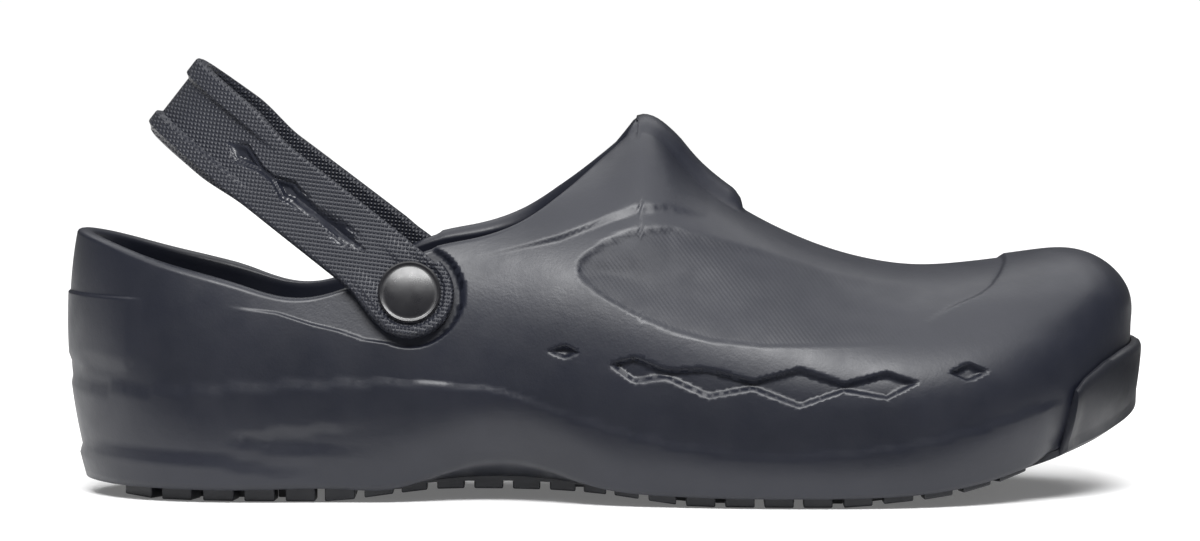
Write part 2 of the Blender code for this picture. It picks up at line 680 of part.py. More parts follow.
def slab_share(side, s):
    """Where the tread slab ends, as a share of the way from the centre to the lower edge."""
    spine, ray = plan_rays(side, s)
    reach = np.linalg.norm(ray, axis=-1) - tuck_at(s)
    station = (1 - np.cos(np.pi * s)) / 2
    arch = ease((station - 0.28) / 0.09) * ease((0.55 - station) / 0.10)
    margin = SOLE_MARGIN + (ARCH_MARGIN - SOLE_MARGIN) * arch
    margin = margin * (1 - ease((station - 0.90) / 0.035))
    return 1 - margin / reach


def underside(side, s, share, layer=0.0):
    """Points on the tread slab's underside, or a layer above it, at a share of the way out to the edge."""
    point = last_point(side, s, share - 1)
    point[..., 2] = by_x(tread_at, point[..., 0]) + layer
    return point


def body_underside(side, turns):
    """Rows of the body's underside: the slab's recess, its step and the lip round it."""
    share = slab_share(side, turns)
    rows = [underside(side, turns, share * part, SLAB) for part in (0, 0.4, 0.8, 1)]
    lip = underside(side, turns, share + (1 - share) * 0.06)
    lip[:, 2] += (edge_at(turns) - tread_at(turns)) * 0.2 + lifted_edge(turns) - edge_at(turns)
    rows.append(lip)
    rows.append(skin(side, turns, 0.0 * turns))
    return np.stack(rows, 1)


def floor_reach(side, s):
    """The v at which the inner wall meets the floor."""
    low = widest_at(s)
    height = floor_at(s)
    for _ in range(4):
        v = WALL_SHARE * (height - lifted_edge(s)) / (low - lifted_edge(s))
        height = by_x(floor_at, inner_point(side, s, v)[..., 0])
    return v


def inner_point(side, s, v):
    return last_point(side, s, v, WALL, rim_drop)


def inner_rows(side, turns):
    """Rows of the cavity: from the rim or crown down the wall, then across the floor."""
    start = floor_reach(side, turns)
    rows = []
    for part in np.linspace(1, 0, INNER_ROWS + 1):
        rows.append(inner_point(side, turns, start + (1 - start) * part))
    foot = rows[-1]
    spine, _ = plan_rays(side, turns)
    for part in np.linspace(1, 0, FLOOR_ROWS + 1)[1:]:
        flat = spine + (foot[..., :2] - spine) * part
        rows.append(np.column_stack([flat, by_x(floor_at, flat[:, 0])]))
    return np.stack(rows, 1)


def build_upper(finish):
    turns = stations()
    lower = np.linspace(0, WALL_SHARE, WALL_ROWS + 1)
    upper = WALL_SHARE + (1 - WALL_SHARE) * np.linspace(0, 1, TOP_ROWS + 1)[1:]
    rows = np.concatenate([lower, upper]).round(TURN_DECIMALS)
    open_turns = turns[turns <= PEAK_TURN + 1e-9]
    patches = Patches()
    for side in (LATERAL, MEDIAL):
        patches.triangles(*outer_faces(side, turns, rows))
        patches.grid(body_underside(side, turns))
        inside = inner_rows(side, turns)
        patches.grid(inside)
        outer_rim = skin(side, open_turns, 1.0 + 0 * open_turns)
        inner_rim = inside[:len(open_turns), 0]
        roll = (outer_rim + inner_rim) / 2
        fade = np.linalg.norm((outer_rim - inner_rim)[:, :2], axis=-1) / WALL
        roll[:, 2] = np.maximum(outer_rim[:, 2], inner_rim[:, 2]) * np.clip(fade, 0, 1) \
            + roll[:, 2] * (1 - np.clip(fade, 0, 1)) + RIM_ROLL * np.clip(fade, 0, 1)
        patches.grid(np.stack([outer_rim, roll, inner_rim], 1))
    return solid("upper", patches.points, patches.faces, finish)


def build_insole(finish):
    """Footbed: it follows the floor, inset from the wall, with a raised heel cup edge."""
    turns = stations()
    patches = Patches()
    for side in (LATERAL, MEDIAL):
        floor = inner_rows(side, turns)[:, INNER_ROWS:]
        inward = floor[:, 1] - floor[:, 0]
        width = np.linalg.norm(inward, axis=-1, keepdims=True)
        floor[:, 0] += inward * INSOLE_EDGE_GAP / width
        under = floor + [0, 0, GAP]
        out = np.linspace(1, 0, FLOOR_ROWS + 1)
        cup = INSOLE_CUP * out ** 2 * ease((0.45 - floor[:, :1, 0] / BODY_LENGTH) / 0.2)
        over = under.copy()
        over[..., 2] += INSOLE_THICKNESS + cup
        patches.grid(np.concatenate([under[:, ::-1], over], 1))
    return solid("insole", patches.points, patches.faces, finish)


def bumper_share(side, s):
    """The v that the bumper reaches on the toe, zero behind its end."""
    station = (1 - np.cos(np.pi * s)) / 2
    top = np.interp(station, BUMPER_TOP["station"], BUMPER_TOP["height"]) * INSTEP_HEIGHT
    low = widest_at(s)
    down = (low - top) / (low - lifted_edge(s))
    return np.where(station >= BUMPER_START - 1e-6, WALL_SHARE * (1 - down), 0)


def build_outsole(finish):
    turns = stations()
    station = (1 - np.cos(np.pi * turns)) / 2
    wrap = ease((station - 0.90) / 0.035)
    patches = Patches()
    for side in (LATERAL, MEDIAL):
        share = slab_share(side, turns)
        reach = np.linalg.norm(plan_rays(side, turns)[1], axis=-1)
        tight = share - GAP / reach * (1 - wrap)
        under, over = [], []
        for part in (0, 0.4, 0.8, 1):
            over.append(underside(side, turns, tight * part, SLAB - GAP))
            under.append(underside(side, turns, tight * part))
        climb = bumper_share(side, turns)
        thick = BUMPER_END_THICKNESS + (BUMPER_THICKNESS - BUMPER_END_THICKNESS) \
            * ease((station - BUMPER_START) / (1 - BUMPER_START))
        for part in (0.0, 0.12, 0.4, 0.7, 1.0):
            v = climb * part
            normal = last_normal(side, turns, v)
            at = skin(side, turns, v)
            normal[:, 2] = np.clip(normal[:, 2], -0.35, 0)
            clear = GAP * (1 + 2 * ease((BUMPER_START + BUMPER_EASE - station) / BUMPER_EASE))[:, None]
            inner = at + normal * clear
            outer = at + normal * (clear + (thick * (1 - 0.35 * (part == 1)))[:, None])
            back = climb <= 0
            inner[back] = over[3][back]
            outer[back] = under[3][back]
            if part == 0:
                inner[~back, 2] -= GAP
                outer[~back, 2] = tread_at(turns)[~back] + 0.0004
            over.append(inner)
            under.append(outer)
        patches.grid(np.stack(over + under[::-1], 1))
    slab = solid("outsole", patches.points, patches.faces, finish)
    apply_tool(slab, build_lugs(finish), "UNION")
    return slab


def apply_tool(body, tool, operation):
    """A Boolean with a helper that isn't part of the shoe."""
    tool.hide_render = True
    tool.display_type = "WIRE"
    step = body.modifiers.new(tool.name, "BOOLEAN")
    step.operation = operation
    step.object = tool
    step.solver = "MANIFOLD"


def prism(patches, corners):
    """A lug: its plan corners, from the ground up into the slab."""
    corners = np.array(corners)
    x = corners[:, 0]
    low = np.column_stack([corners, np.interp(x / BODY_LENGTH, GROUND["station"], GROUND["height"])
                           * INSTEP_HEIGHT])
    high = np.column_stack([corners, by_x(tread_at, x) + LUG_SINK])
    count = len(corners)
    faces = [tuple(range(count)), tuple(range(2 * count - 1, count - 1, -1))]
    faces += [(i, (i + 1) % count, count + (i + 1) % count, count + i) for i in range(count)]
    patches.triangles(np.concatenate([low, high]), faces)


def outward_edge(side, station, inset):
    """A plan point at a distance inside the slab's edge."""
    s = turn(station)
    edge = underside(side, s, slab_share(side, s))[..., :2]
    inward = plan_rays(side, s)[0] - edge
    return edge + inward / np.linalg.norm(inward, axis=-1, keepdims=True) * inset


def build_lugs(finish):
    """Blocks round the edge and rows of bars inside them."""
    patches = Patches()
    pitch = LUG_LENGTH + LUG_GAP
    for side in (LATERAL, MEDIAL):
        dense = np.linspace(LUG_START, LUG_END, 600)
        edge = outward_edge(side, dense, LUG_INSET)
        inner = outward_edge(side, dense, LUG_INSET + LUG_WIDTH)
        run = np.concatenate([[0], np.cumsum(np.linalg.norm(np.diff(inner, axis=0), axis=-1))])
        for start in np.arange(0, run[-1] - LUG_LENGTH, pitch):
            a, b = (int(np.searchsorted(run, start + end)) for end in (0, LUG_LENGTH))
            prism(patches, [edge[a], edge[b], inner[b], inner[a]])
    margin = LUG_INSET + LUG_WIDTH + LUG_GAP
    for x in np.arange(BAR_START * BODY_LENGTH, BAR_END * BODY_LENGTH, BAR_LENGTH + BAR_GAP):
        ends = {}
        for side in (LATERAL, MEDIAL):
            reach = [outward_edge(side, (x + part * BAR_LENGTH) / BODY_LENGTH, margin)[1] for part in (0, 1)]
            ends[side] = side * min(side * y for y in reach)
        room = ends[MEDIAL] - ends[LATERAL]
        count = int((room + LUG_GAP) // (BAR_WIDTH + LUG_GAP))
        if count < 1:
            continue
        width = (room + LUG_GAP) / count - LUG_GAP
        for i in range(count):
            y = ends[LATERAL] + i * (width + LUG_GAP)
            prism(patches, [(x, y), (x + BAR_LENGTH, y), (x + BAR_LENGTH, y + width), (x, y + width)])
    return solid("lugs", patches.points, patches.faces, finish)


def strap_path(side, count):
    """Middle of one arm's inner face, from the pivot to the back of the heel."""
    back = np.array([-np.cos(STRAP_ANGLE), 0, np.sin(STRAP_ANGLE)])
    start = SEAT_CENTRE[side] + seat_axis(side) * (GAP + BAND_RAISE)
    corner = np.linspace(0, np.pi / 2, count)
    bend = STRAP_REACH - STRAP_THICKNESS - STRAP_STRAIGHT
    run = np.linspace(0, 1, STRAIGHT_ROWS + 1)[:-1] * STRAP_STRAIGHT
    reach = np.concatenate([run, STRAP_STRAIGHT + bend * np.sin(corner)])
    slope = np.sin(STRAP_ANGLE) * np.tan(SEAT_LEAN)
    half = abs(start[1]) - slope * reach
    round_part = np.concatenate([0 * run + 1, np.cos(corner) ** STRAP_SQUARENESS])
    points = start * [1, 0, 1] + np.outer(reach, back)
    points[:, 1] = side * half * round_part
    return points, reach


def strap_arm(side, count):
    """Rows of the band's section along one arm, from the seat's plane to the upright heel pad."""
    rise = np.array([np.sin(STRAP_ANGLE), 0, np.cos(STRAP_ANGLE)])
    points, reach = strap_path(side, count)
    ahead = np.gradient(points, axis=0)
    ahead[-1] = [0, -side, 0]
    ahead /= np.linalg.norm(ahead, axis=-1, keepdims=True)
    share = (reach / reach[-1])[:, None]
    leaning = np.cross(ahead[0], seat_axis(side)) * -side
    up = leaning + (rise - leaning) * ease(share)
    out = np.cross(ahead, up) * side
    out /= np.linalg.norm(out, axis=-1, keepdims=True)
    up = np.cross(out, ahead) * side
    pad = ease((share[:, 0] - PAD_START) / (1 - PAD_START) * 2)
    low = STRAP_OFFSET - STRAP_WIDTH / 2
    high = STRAP_OFFSET + STRAP_WIDTH / 2
    low = low + (PAD_LOW - low) * pad
    high = high + (PAD_HIGH - high) * pad
    rows = []
    for part, face, sunk in BAND_SECTION:
        height = low + (high - low) * part
        depth = STRAP_THICKNESS * face - PAD_RECESS * pad * sunk
        rows.append(points + up * height[:, None] + out * depth[:, None])
    return np.stack(rows, 1)


def build_strap(finish):
    """Two arms and the heel pad as one band, joined to a round end ring at each pivot."""
    patches = Patches()
    for side in (LATERAL, MEDIAL):
        band = strap_arm(side, STRAP_ROWS)
        patches.grid(band)
        count = len(BAND_SECTION) - 1
        patches.triangles(band[0][:count], [tuple(range(count))])
    band = solid("heel_strap", patches.points, patches.faces, finish)
    for side, name in ((LATERAL, "lateral"), (MEDIAL, "medial")):
        axis = seat_axis(side)
        centre = SEAT_CENTRE[side] + axis * GAP
        thick = STRAP_THICKNESS + RING_RAISE
        ring = disc(f"ring_{name}", centre, axis, ((0, 0), (RING_RADIUS, 0), (RING_RADIUS, thick - 0.0006),
                    (RING_RADIUS - 0.0006, thick), (0, thick)), finish)
        bore_radius = RIVET_SHANK_RADIUS + GAP
        bore = disc(f"bore_{name}", centre, axis, ((0, -0.003), (bore_radius, -0.003),
                    (bore_radius, 2 * thick), (0, 2 * thick)), finish)
        for tool, operation in ((ring, "UNION"), (bore, "DIFFERENCE")):
            apply_tool(band, tool, operation)
    return band


def wall_back(side):
    """How far behind the seat the inner wall lies, where it lies deepest under the rivet's flange."""
    s, v = locate(side, PIVOT_X, PIVOT_Z)
    near_s, near_v = np.meshgrid(s + np.linspace(-0.04, 0.04, 41), v + np.linspace(-0.3, 0.3, 41))
    away = inner_point(side, near_s, near_v) - SEAT_CENTRE[side]
    height = away @ seat_axis(side)
    radius = np.linalg.norm(away - height[..., None] * seat_axis(side), axis=-1)
    return height[radius < RIVET_INNER_RADIUS].min()


def drill_seat(body, side, name, finish):
    """The rivet's hole through the body's wall."""
    radius = RIVET_SHANK_RADIUS + GAP
    drill = disc(f"drill_{name}", SEAT_CENTRE[side], seat_axis(side), ((0, -0.015), (radius, -0.015),
                 (radius, 0.010), (0, 0.010)), finish)
    apply_tool(body, drill, "DIFFERENCE")


def build_rivet(side, name, finish):
    """A snap rivet: domed head on the strap, shank through the wall and flange inside."""
    axis = seat_axis(side)
    centre = SEAT_CENTRE[side]
    head = GAP + STRAP_THICKNESS + RING_RAISE + GAP
    inside = wall_back(side) - GAP
    dome = [(RIVET_HEAD_RADIUS * np.cos(turned), head + RIVET_HEAD_HEIGHT * np.sin(turned) ** 0.7)
            for turned in np.linspace(0, np.pi / 2, 5)]
    profile = [(0, inside - RIVET_INNER_HEIGHT), (RIVET_INNER_RADIUS, inside - RIVET_INNER_HEIGHT),
               (RIVET_INNER_RADIUS, inside), (RIVET_SHANK_RADIUS, inside), (RIVET_SHANK_RADIUS, head)] + dome
    return disc(f"rivet_{name}", centre, axis, profile, finish)


def disc(name, centre, axis, profile, finish, sides=32):
    """A turned piece: radius and height along its axis."""
    axis = np.array(axis)
    first = np.cross(axis, [1.0, 0, 0])
    first /= np.linalg.norm(first)
    second = np.cross(axis, first)
    angles = np.linspace(0, 2 * np.pi, sides + 1)
    ring = np.outer(np.cos(angles), first) + np.outer(np.sin(angles), second)
    rows = [centre + ring * radius + axis * height for radius, height in profile]
    patches = Patches()
    patches.grid(np.stack(rows, 1))
    return solid(name, patches.points, patches.faces, finish)


def main():
    for old in list(bpy.data.objects):
        bpy.data.objects.remove(old, do_unlink=True)
    foam = material("moulded_foam", (0.028, 0.030, 0.034), 0.5)
    rubber = material("outsole_rubber", (0.014, 0.014, 0.015), 0.65)
    footbed = material("footbed_foam", (0.020, 0.020, 0.022), 0.9)
    glossy = material("rivet_plastic", (0.012, 0.012, 0.014), 0.25)
    upper = build_upper(foam)
    drill_seat(upper, LATERAL, "lateral", foam)
    drill_seat(upper, MEDIAL, "medial", foam)
    build_outsole(rubber)
    build_insole(footbed)
    build_strap(foam)
    build_rivet(LATERAL, "lateral", glossy)
    build_rivet(MEDIAL, "medial", glossy)


main()
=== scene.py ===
"""Looks of the chef clog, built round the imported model. Metres, +Z up, toe along +X."""
import json

import bmesh
import bpy
import numpy as np
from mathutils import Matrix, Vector, kdtree

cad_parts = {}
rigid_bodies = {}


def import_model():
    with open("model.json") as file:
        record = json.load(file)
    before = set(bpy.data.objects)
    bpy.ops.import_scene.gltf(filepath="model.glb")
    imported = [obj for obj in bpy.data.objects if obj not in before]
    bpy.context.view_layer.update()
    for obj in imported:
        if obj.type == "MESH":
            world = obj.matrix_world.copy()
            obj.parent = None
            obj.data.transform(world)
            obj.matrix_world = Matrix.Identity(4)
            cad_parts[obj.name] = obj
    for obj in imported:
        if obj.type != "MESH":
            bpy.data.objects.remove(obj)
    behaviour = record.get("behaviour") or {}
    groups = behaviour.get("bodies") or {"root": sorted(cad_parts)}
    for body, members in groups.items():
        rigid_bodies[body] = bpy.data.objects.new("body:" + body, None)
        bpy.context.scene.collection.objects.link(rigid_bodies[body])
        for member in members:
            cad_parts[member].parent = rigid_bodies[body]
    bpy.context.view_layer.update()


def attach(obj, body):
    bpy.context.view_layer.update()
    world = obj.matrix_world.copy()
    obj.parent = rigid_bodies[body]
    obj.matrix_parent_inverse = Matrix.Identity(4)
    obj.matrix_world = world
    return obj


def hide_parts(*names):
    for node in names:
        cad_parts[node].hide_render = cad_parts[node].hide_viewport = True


# Driving sizes of the shoe
LENGTH = 0.295
BALL_WIDTH = 0.108
HEEL_WIDTH = 0.074
INSTEP_HEIGHT = 0.103
GAP = 0.0003

# Walls and layers
WALL = 0.005
INSOLE_THICKNESS = 0.004
INSOLE_EDGE_GAP = 0.0012
INSOLE_CUP = 0.002
INSOLE_CUP_END = 0.45
INSOLE_CUP_FADE = 0.2
INSOLE_SHOULDER = 0.0012
INSOLE_TOP_INSET = 0.05
SLAB = 0.0022
BUMPER_THICKNESS = 0.0029
BUMPER_END_THICKNESS = 0.0016
SOLE_MARGIN = 0.0028
ARCH_MARGIN = 0.013

# Depths of the steps in the body's wall
CHAIN_DEPTH = 0.0021
CHAIN_WALL = 0.0011
PANEL_DEPTH = 0.0010
PANEL_WALL = 0.0012
PANEL_DISH = 0.0020
PANEL_DISH_WIDTH = 0.012
CAP_STEP = 0.0010
CAP_WALL = 0.0014
SIDE_STEP = 0.0006
SIDE_STEP_WALL = 0.0007
FOOT_LEDGE = 0.0012
HEEL_TAB_STEP = 0.0006
NOTCH_DEPTH = 0.0010
NOTCH_WALL = 0.0010
CREASE_STEP = 0.0010
RIB_HEIGHT = 0.0036
RIB_HALF_WIDTH = 0.0085
PEAK_FALL = 3.0

# Where the side line ends at the toe and the front cap's step fades out low down
SIDE_LINE_END = 0.935
SIDE_LINE_FADE = 0.03
CAP_BOTTOM = 0.44
CAP_FADE = 0.10
# The last's width runs from the heel's to the ball's over this share of its length
WAIST_START = 0.171
WAIST_LENGTH = 0.514
# The slab's edge is inset under the arch, and it meets the bumper at the toe
ARCH_START = 0.28
ARCH_RISE = 0.09
ARCH_END = 0.55
ARCH_FALL = 0.10
WRAP_START = 0.90
WRAP_LENGTH = 0.035

# Strap and rivets
PIVOT_X = 0.0943
PIVOT_SHARE = 0.5534
PIVOT_Z = PIVOT_SHARE * INSTEP_HEIGHT
SEAT_LEAN = np.radians(15.0)
SEAT_DEPTH = 0.0022
SEAT_RADIUS = 0.0148
SEAT_WALL = 0.0010
STRAP_ANGLE = np.radians(38.0)
STRAP_WIDTH = 0.0204
STRAP_THICKNESS = 0.0042
STRAP_REACH = 0.085
STRAP_STRAIGHT = 0.040
STRAP_SQUARENESS = 0.85
# Directions along the arm and up across it, seen from the side
ARM_BACK = np.array([-np.cos(STRAP_ANGLE), 0, np.sin(STRAP_ANGLE)])
ARM_RISE = np.array([np.sin(STRAP_ANGLE), 0, np.cos(STRAP_ANGLE)])
STRAIGHT_ROWS = 4
BAND_RAISE = 0.0002
PAD_START = 0.60
STRAP_OFFSET = 0.0011
RING_RADIUS = 0.0120
RING_RAISE = 0.0008
PAD_LOW = -0.0105
PAD_HIGH = 0.0133
PAD_RECESS = 0.0015
PAD_LOWER_LIP = (-0.0098, -0.0043)
PAD_UPPER_LIP = 0.0071
PAD_LIP_WALL = 0.0012
RIVET_HEAD_RADIUS = 0.0085
RIVET_HEAD_HEIGHT = 0.0016
RIVET_SHANK_RADIUS = 0.0035
RIVET_INNER_RADIUS = 0.0070
RIVET_INNER_HEIGHT = 0.0014
RIVET_INNER_EDGE = 0.0006
RIVET_CLEARANCE = 0.0002
# The head's rim with its bead: out from the head's radius, up from its underside
RIVET_BEAD = (
    (-0.0003, 0), (0, 0.0004), (-0.0001, 0.0008), (-0.0005, 0.0010), (-0.0009, 0.0009), (-0.0012, 0.0008),
)

# Tread
LUG_LENGTH = 0.0078
LUG_GAP = 0.0028
LUG_WIDTH = 0.0075
LUG_SINK = 0.0008
LUG_INSET = 0.0008
LUG_BEVEL = 0.0004
LUG_START = 0.030
LUG_END = 0.930
BAR_START = 0.108
BAR_END = 0.880
BAR_LENGTH = 0.0082
BAR_WIDTH = 0.0190
BAR_GAP = 0.0050

BODY_LENGTH = LENGTH - BUMPER_THICKNESS - GAP
LATERAL = -1
MEDIAL = 1
# The share of v that the lower wall takes
WALL_SHARE = 0.30


def columns(names, rows):
    """A short table as one array for each named column."""
    return dict(zip(names.split(), np.array(rows, float).T))


# Plan of the last: stations as shares of the body's length, half widths as shares of the local width
PLAN = columns("station spine lateral centre medial", (
    (0.000, 0.103, 0.000, 0.000, 0.000),
    (0.017, 0.107, 0.208, 0.000, 0.208),
    (0.048, 0.118, 0.345, 0.000, 0.345),
    (0.103, 0.144, 0.459, 0.000, 0.458),
    (0.171, 0.188, 0.503, 0.000, 0.495),
    (0.257, 0.261, 0.501, 0.000, 0.468),
    (0.343, 0.343, 0.483, 0.000, 0.440),
    (0.428, 0.428, 0.481, 0.005, 0.434),
    (0.514, 0.514, 0.490, 0.012, 0.449),
    (0.600, 0.600, 0.497, 0.019, 0.469),
    (0.685, 0.685, 0.500, 0.028, 0.491),
    (0.771, 0.762, 0.490, 0.039, 0.501),
    (0.840, 0.810, 0.451, 0.050, 0.497),
    (0.891, 0.840, 0.395, 0.058, 0.470),
    (0.932, 0.858, 0.323, 0.065, 0.424),
    (0.963, 0.869, 0.241, 0.069, 0.360),
    (0.9835, 0.876, 0.153, 0.072, 0.287),
    (0.9955, 0.881, 0.061, 0.074, 0.206),
    (1.000, 0.884, -0.074, 0.074, 0.074),
))
# Heights as shares of the instep height, and the tuck of the lower wall as a share of the ball width
WALLS = columns("station widest edge tread tuck fullness floor", (
    (0.000, 0.456, 0.050, 0.048, 0.056, 2.10, 0.190),
    (0.048, 0.427, 0.041, 0.039, 0.051, 2.10, 0.188),
    (0.103, 0.398, 0.039, 0.037, 0.046, 2.10, 0.186),
    (0.171, 0.369, 0.039, 0.037, 0.046, 2.10, 0.182),
    (0.257, 0.350, 0.039, 0.037, 0.051, 2.10, 0.172),
    (0.308, 0.335, 0.040, 0.039, 0.060, 2.10, 0.162),
    (0.343, 0.325, 0.071, 0.043, 0.069, 2.10, 0.156),
    (0.384, 0.320, 0.109, 0.045, 0.083, 2.10, 0.148),
    (0.415, 0.320, 0.115, 0.046, 0.088, 2.10, 0.142),
    (0.456, 0.316, 0.092, 0.045, 0.079, 2.08, 0.132),
    (0.483, 0.311, 0.063, 0.043, 0.069, 2.06, 0.126),
    (0.514, 0.306, 0.043, 0.039, 0.060, 2.04, 0.120),
    (0.555, 0.296, 0.034, 0.033, 0.056, 2.02, 0.112),
    (0.600, 0.282, 0.030, 0.030, 0.051, 2.00, 0.106),
    (0.685, 0.262, 0.029, 0.029, 0.046, 2.00, 0.100),
    (0.771, 0.262, 0.034, 0.034, 0.046, 2.02, 0.104),
    (0.840, 0.277, 0.055, 0.054, 0.051, 2.06, 0.130),
    (0.891, 0.301, 0.091, 0.088, 0.056, 2.10, 0.166),
    (0.932, 0.340, 0.130, 0.126, 0.056, 2.12, 0.208),
    (0.963, 0.388, 0.163, 0.158, 0.046, 2.12, 0.262),
    (0.9835, 0.427, 0.193, 0.186, 0.034, 2.10, 0.330),
    (0.9955, 0.451, 0.222, 0.211, 0.022, 2.10, 0.352),
    (1.000, 0.466, 0.252, 0.232, 0.013, 2.10, 0.355),
))
# Ahead of the instep the last's top is one line, with or without the tab's peak
TOE_TOP = (
    (0.7145, 0.646), (0.752, 0.617), (0.7985, 0.600), (0.840, 0.605), (0.880, 0.618), (0.910, 0.633),
    (0.940, 0.655), (0.970, 0.670), (1.000, 0.672),
)
# Centre line of the last's top; behind the peak it only guides the walls up to the rim
CROWN = columns("station height", (
    (0.000, 1.060), (0.171, 0.970), (0.343, 0.883), (0.391, 0.866), (0.428, 0.850), (0.452, 0.854),
    (0.473, 0.870), (0.495, 0.896), (0.525, 0.960), (0.539, 0.978), (0.555, 0.948), (0.577, 0.876),
    (0.601, 0.815), (0.635, 0.750), (0.677, 0.688), *TOE_TOP,
))
# The same line without the tab's peak, which the walls follow away from the centre
BACKBONE = columns("station height", (
    (0.000, 1.060), (0.171, 0.970), (0.343, 0.882), (0.428, 0.872), (0.500, 0.868), (0.560, 0.835),
    (0.620, 0.765), (0.677, 0.690), *TOE_TOP,
))
RIM = columns("station height", (
    (0.000, 0.705), (0.0425, 0.664), (0.091, 0.619), (0.1676, 0.560), (0.2125, 0.532), (0.258, 0.556),
    (0.3016, 0.612), (0.343, 0.665), (0.391, 0.697), (0.430, 0.738), (0.4736, 0.818), (0.512, 0.909),
    (0.539, 0.978),
))
SIDE_LINE = columns("station height", (
    (0.000, 0.301), (0.092, 0.302), (0.168, 0.313), (0.268, 0.326), (0.342, 0.329), (0.369, 0.322),
    (0.405, 0.309), (0.452, 0.265), (0.502, 0.220), (0.573, 0.172), (0.646, 0.150), (0.718, 0.152),
    (0.790, 0.179), (0.862, 0.226), (0.898, 0.258), (0.940, 0.280), (1.000, 0.290),
))
LEDGE_LINE = columns("station height reach", (
    (0.000, 0.130, 1.0), (0.125, 0.128, 1.0), (0.191, 0.093, 0.8), (0.260, 0.070, 0.0),
    (1.000, 0.070, 0.0),
))
# Underside of the lugs above the ground
GROUND = columns("station height", (
    (0.000, 0.038), (0.022, 0.024), (0.044, 0.009), (0.072, 0.000), (0.257, 0.000), (0.295, 0.016),
    (0.343, 0.024), (0.480, 0.024), (0.520, 0.022), (0.583, 0.000), (0.737, 0.000), (0.765, 0.011),
    (0.799, 0.019), (0.831, 0.031), (0.873, 0.060), (0.908, 0.097), (0.950, 0.140), (0.986, 0.182),
    (1.000, 0.225),
))
# Lozenge recesses along the side: centre height and half height at each station
STRANDS = (
    columns("station height half", ((0.449, 0.410, 0.0), (0.466, 0.410, 0.0194), (0.483, 0.410, 0.0))),
    columns("station height half", (
        (0.505, 0.381, 0.000), (0.530, 0.366, 0.035), (0.559, 0.356, 0.012), (0.598, 0.334, 0.040),
        (0.639, 0.329, 0.012), (0.682, 0.322, 0.052), (0.723, 0.324, 0.012), (0.7625, 0.3275, 0.036),
        (0.793, 0.335, 0.000),
    )),
    columns("station height half", ((0.818, 0.358, 0.0), (0.8385, 0.3586, 0.026), (0.859, 0.360, 0.0))),
)
# Side panel: its lower and upper edges, and how deep the recess is
PANEL = columns("station lower upper depth", (
    (0.478, 0.610, 0.640, 0.9), (0.488, 0.580, 0.665, 1.0), (0.505, 0.545, 0.697, 1.0),
    (0.530, 0.507, 0.722, 1.0), (0.565, 0.466, 0.728, 1.0), (0.600, 0.440, 0.700, 0.9),
    (0.650, 0.425, 0.664, 0.6), (0.720, 0.425, 0.600, 0.3), (0.800, 0.430, 0.560, 0.0),
))
# Front cap: how far forward its edge lies at each height
CAP_LINE = columns("height station", (
    (0.000, 0.790), (0.480, 0.798), (0.515, 0.822), (0.540, 0.848), (0.560, 0.860), (0.584, 0.869),
    (0.612, 0.877), (0.700, 0.882),
))
# Lower edge of the raised instep tab
CREASE_LINE = columns("station height reach", (
    (0.380, 0.640, 0.0), (0.430, 0.672, 0.4), (0.462, 0.692, 1.0), (0.500, 0.732, 1.0),
    (0.530, 0.765, 1.0), (0.560, 0.768, 0.8), (0.600, 0.740, 0.0),
))
# Rib on the tab: share of its full height
RIB = columns("station height", (
    (0.500, 0.00), (0.539, 0.55), (0.565, 0.90), (0.600, 1.00), (0.619, 0.95), (0.628, 0.60),
    (0.634, 0.00),
))
# Wedge-shaped recess low on the heel's side
NOTCH = columns("station lower upper depth", (
    (0.150, 0.169, 0.173, 0.6), (0.191, 0.147, 0.190, 1.0), (0.231, 0.138, 0.203, 0.8),
    (0.265, 0.134, 0.210, 0.3), (0.300, 0.130, 0.214, 0.0),
))
# Lower edge of the flat that runs back from the strap seat to the rim, and how far it is pressed in
SEAT_TAIL = columns("station height reach", (
    (0.150, 0.520, 0.0), (0.163, 0.512, 0.1), (0.200, 0.500, 0.6), (0.231, 0.472, 1.0), (0.258, 0.454, 1.0),
    (0.281, 0.431, 1.0), (0.325, 0.415, 1.0),
))
# Patch across the back of the heel: its lower and upper edges
HEEL_TAB = columns("station lower upper depth", (
    (0.000, 0.36, 0.54, 1.0), (0.060, 0.36, 0.54, 1.0), (0.075, 0.40, 0.54, 0.0), (1.000, 0.40, 0.54, 0.0),
))
BUMPER_START = 0.9375
BUMPER_EASE = 0.010
BUMPER_LEAN = 0.35
BUMPER_LIP = 0.0004
# The bumper's thickness at its foot as a share of the whole, and where it rounds off
BUMPER_FOOT = 0.45
BUMPER_ROUND = 0.86
# Height of the bumper's top edge at each outline station
BUMPER_TOP = columns("station height", (
    (0.9375, 0.300), (0.948, 0.330), (0.965, 0.365), (0.985, 0.392), (1.000, 0.404),
))


def lengths(vectors):
    return np.linalg.norm(vectors, axis=-1)


def unit(vectors):
    return vectors / np.maximum(np.linalg.norm(vectors, axis=-1, keepdims=True), 1e-12)


def run_along(path):
    """Distance along a path at each of its points."""
    return np.concatenate([[0], np.cumsum(lengths(np.diff(path, axis=0)))])


def turn(share):
    """Even steps of this angle are fine at the heel and toe and wide in the middle."""
    return np.arccos(np.clip(1 - 2 * np.asarray(share, float), -1, 1)) / np.pi


def station_of(s):
    """The share of the body's length at a turn."""
    return (1 - np.cos(np.pi * s)) / 2


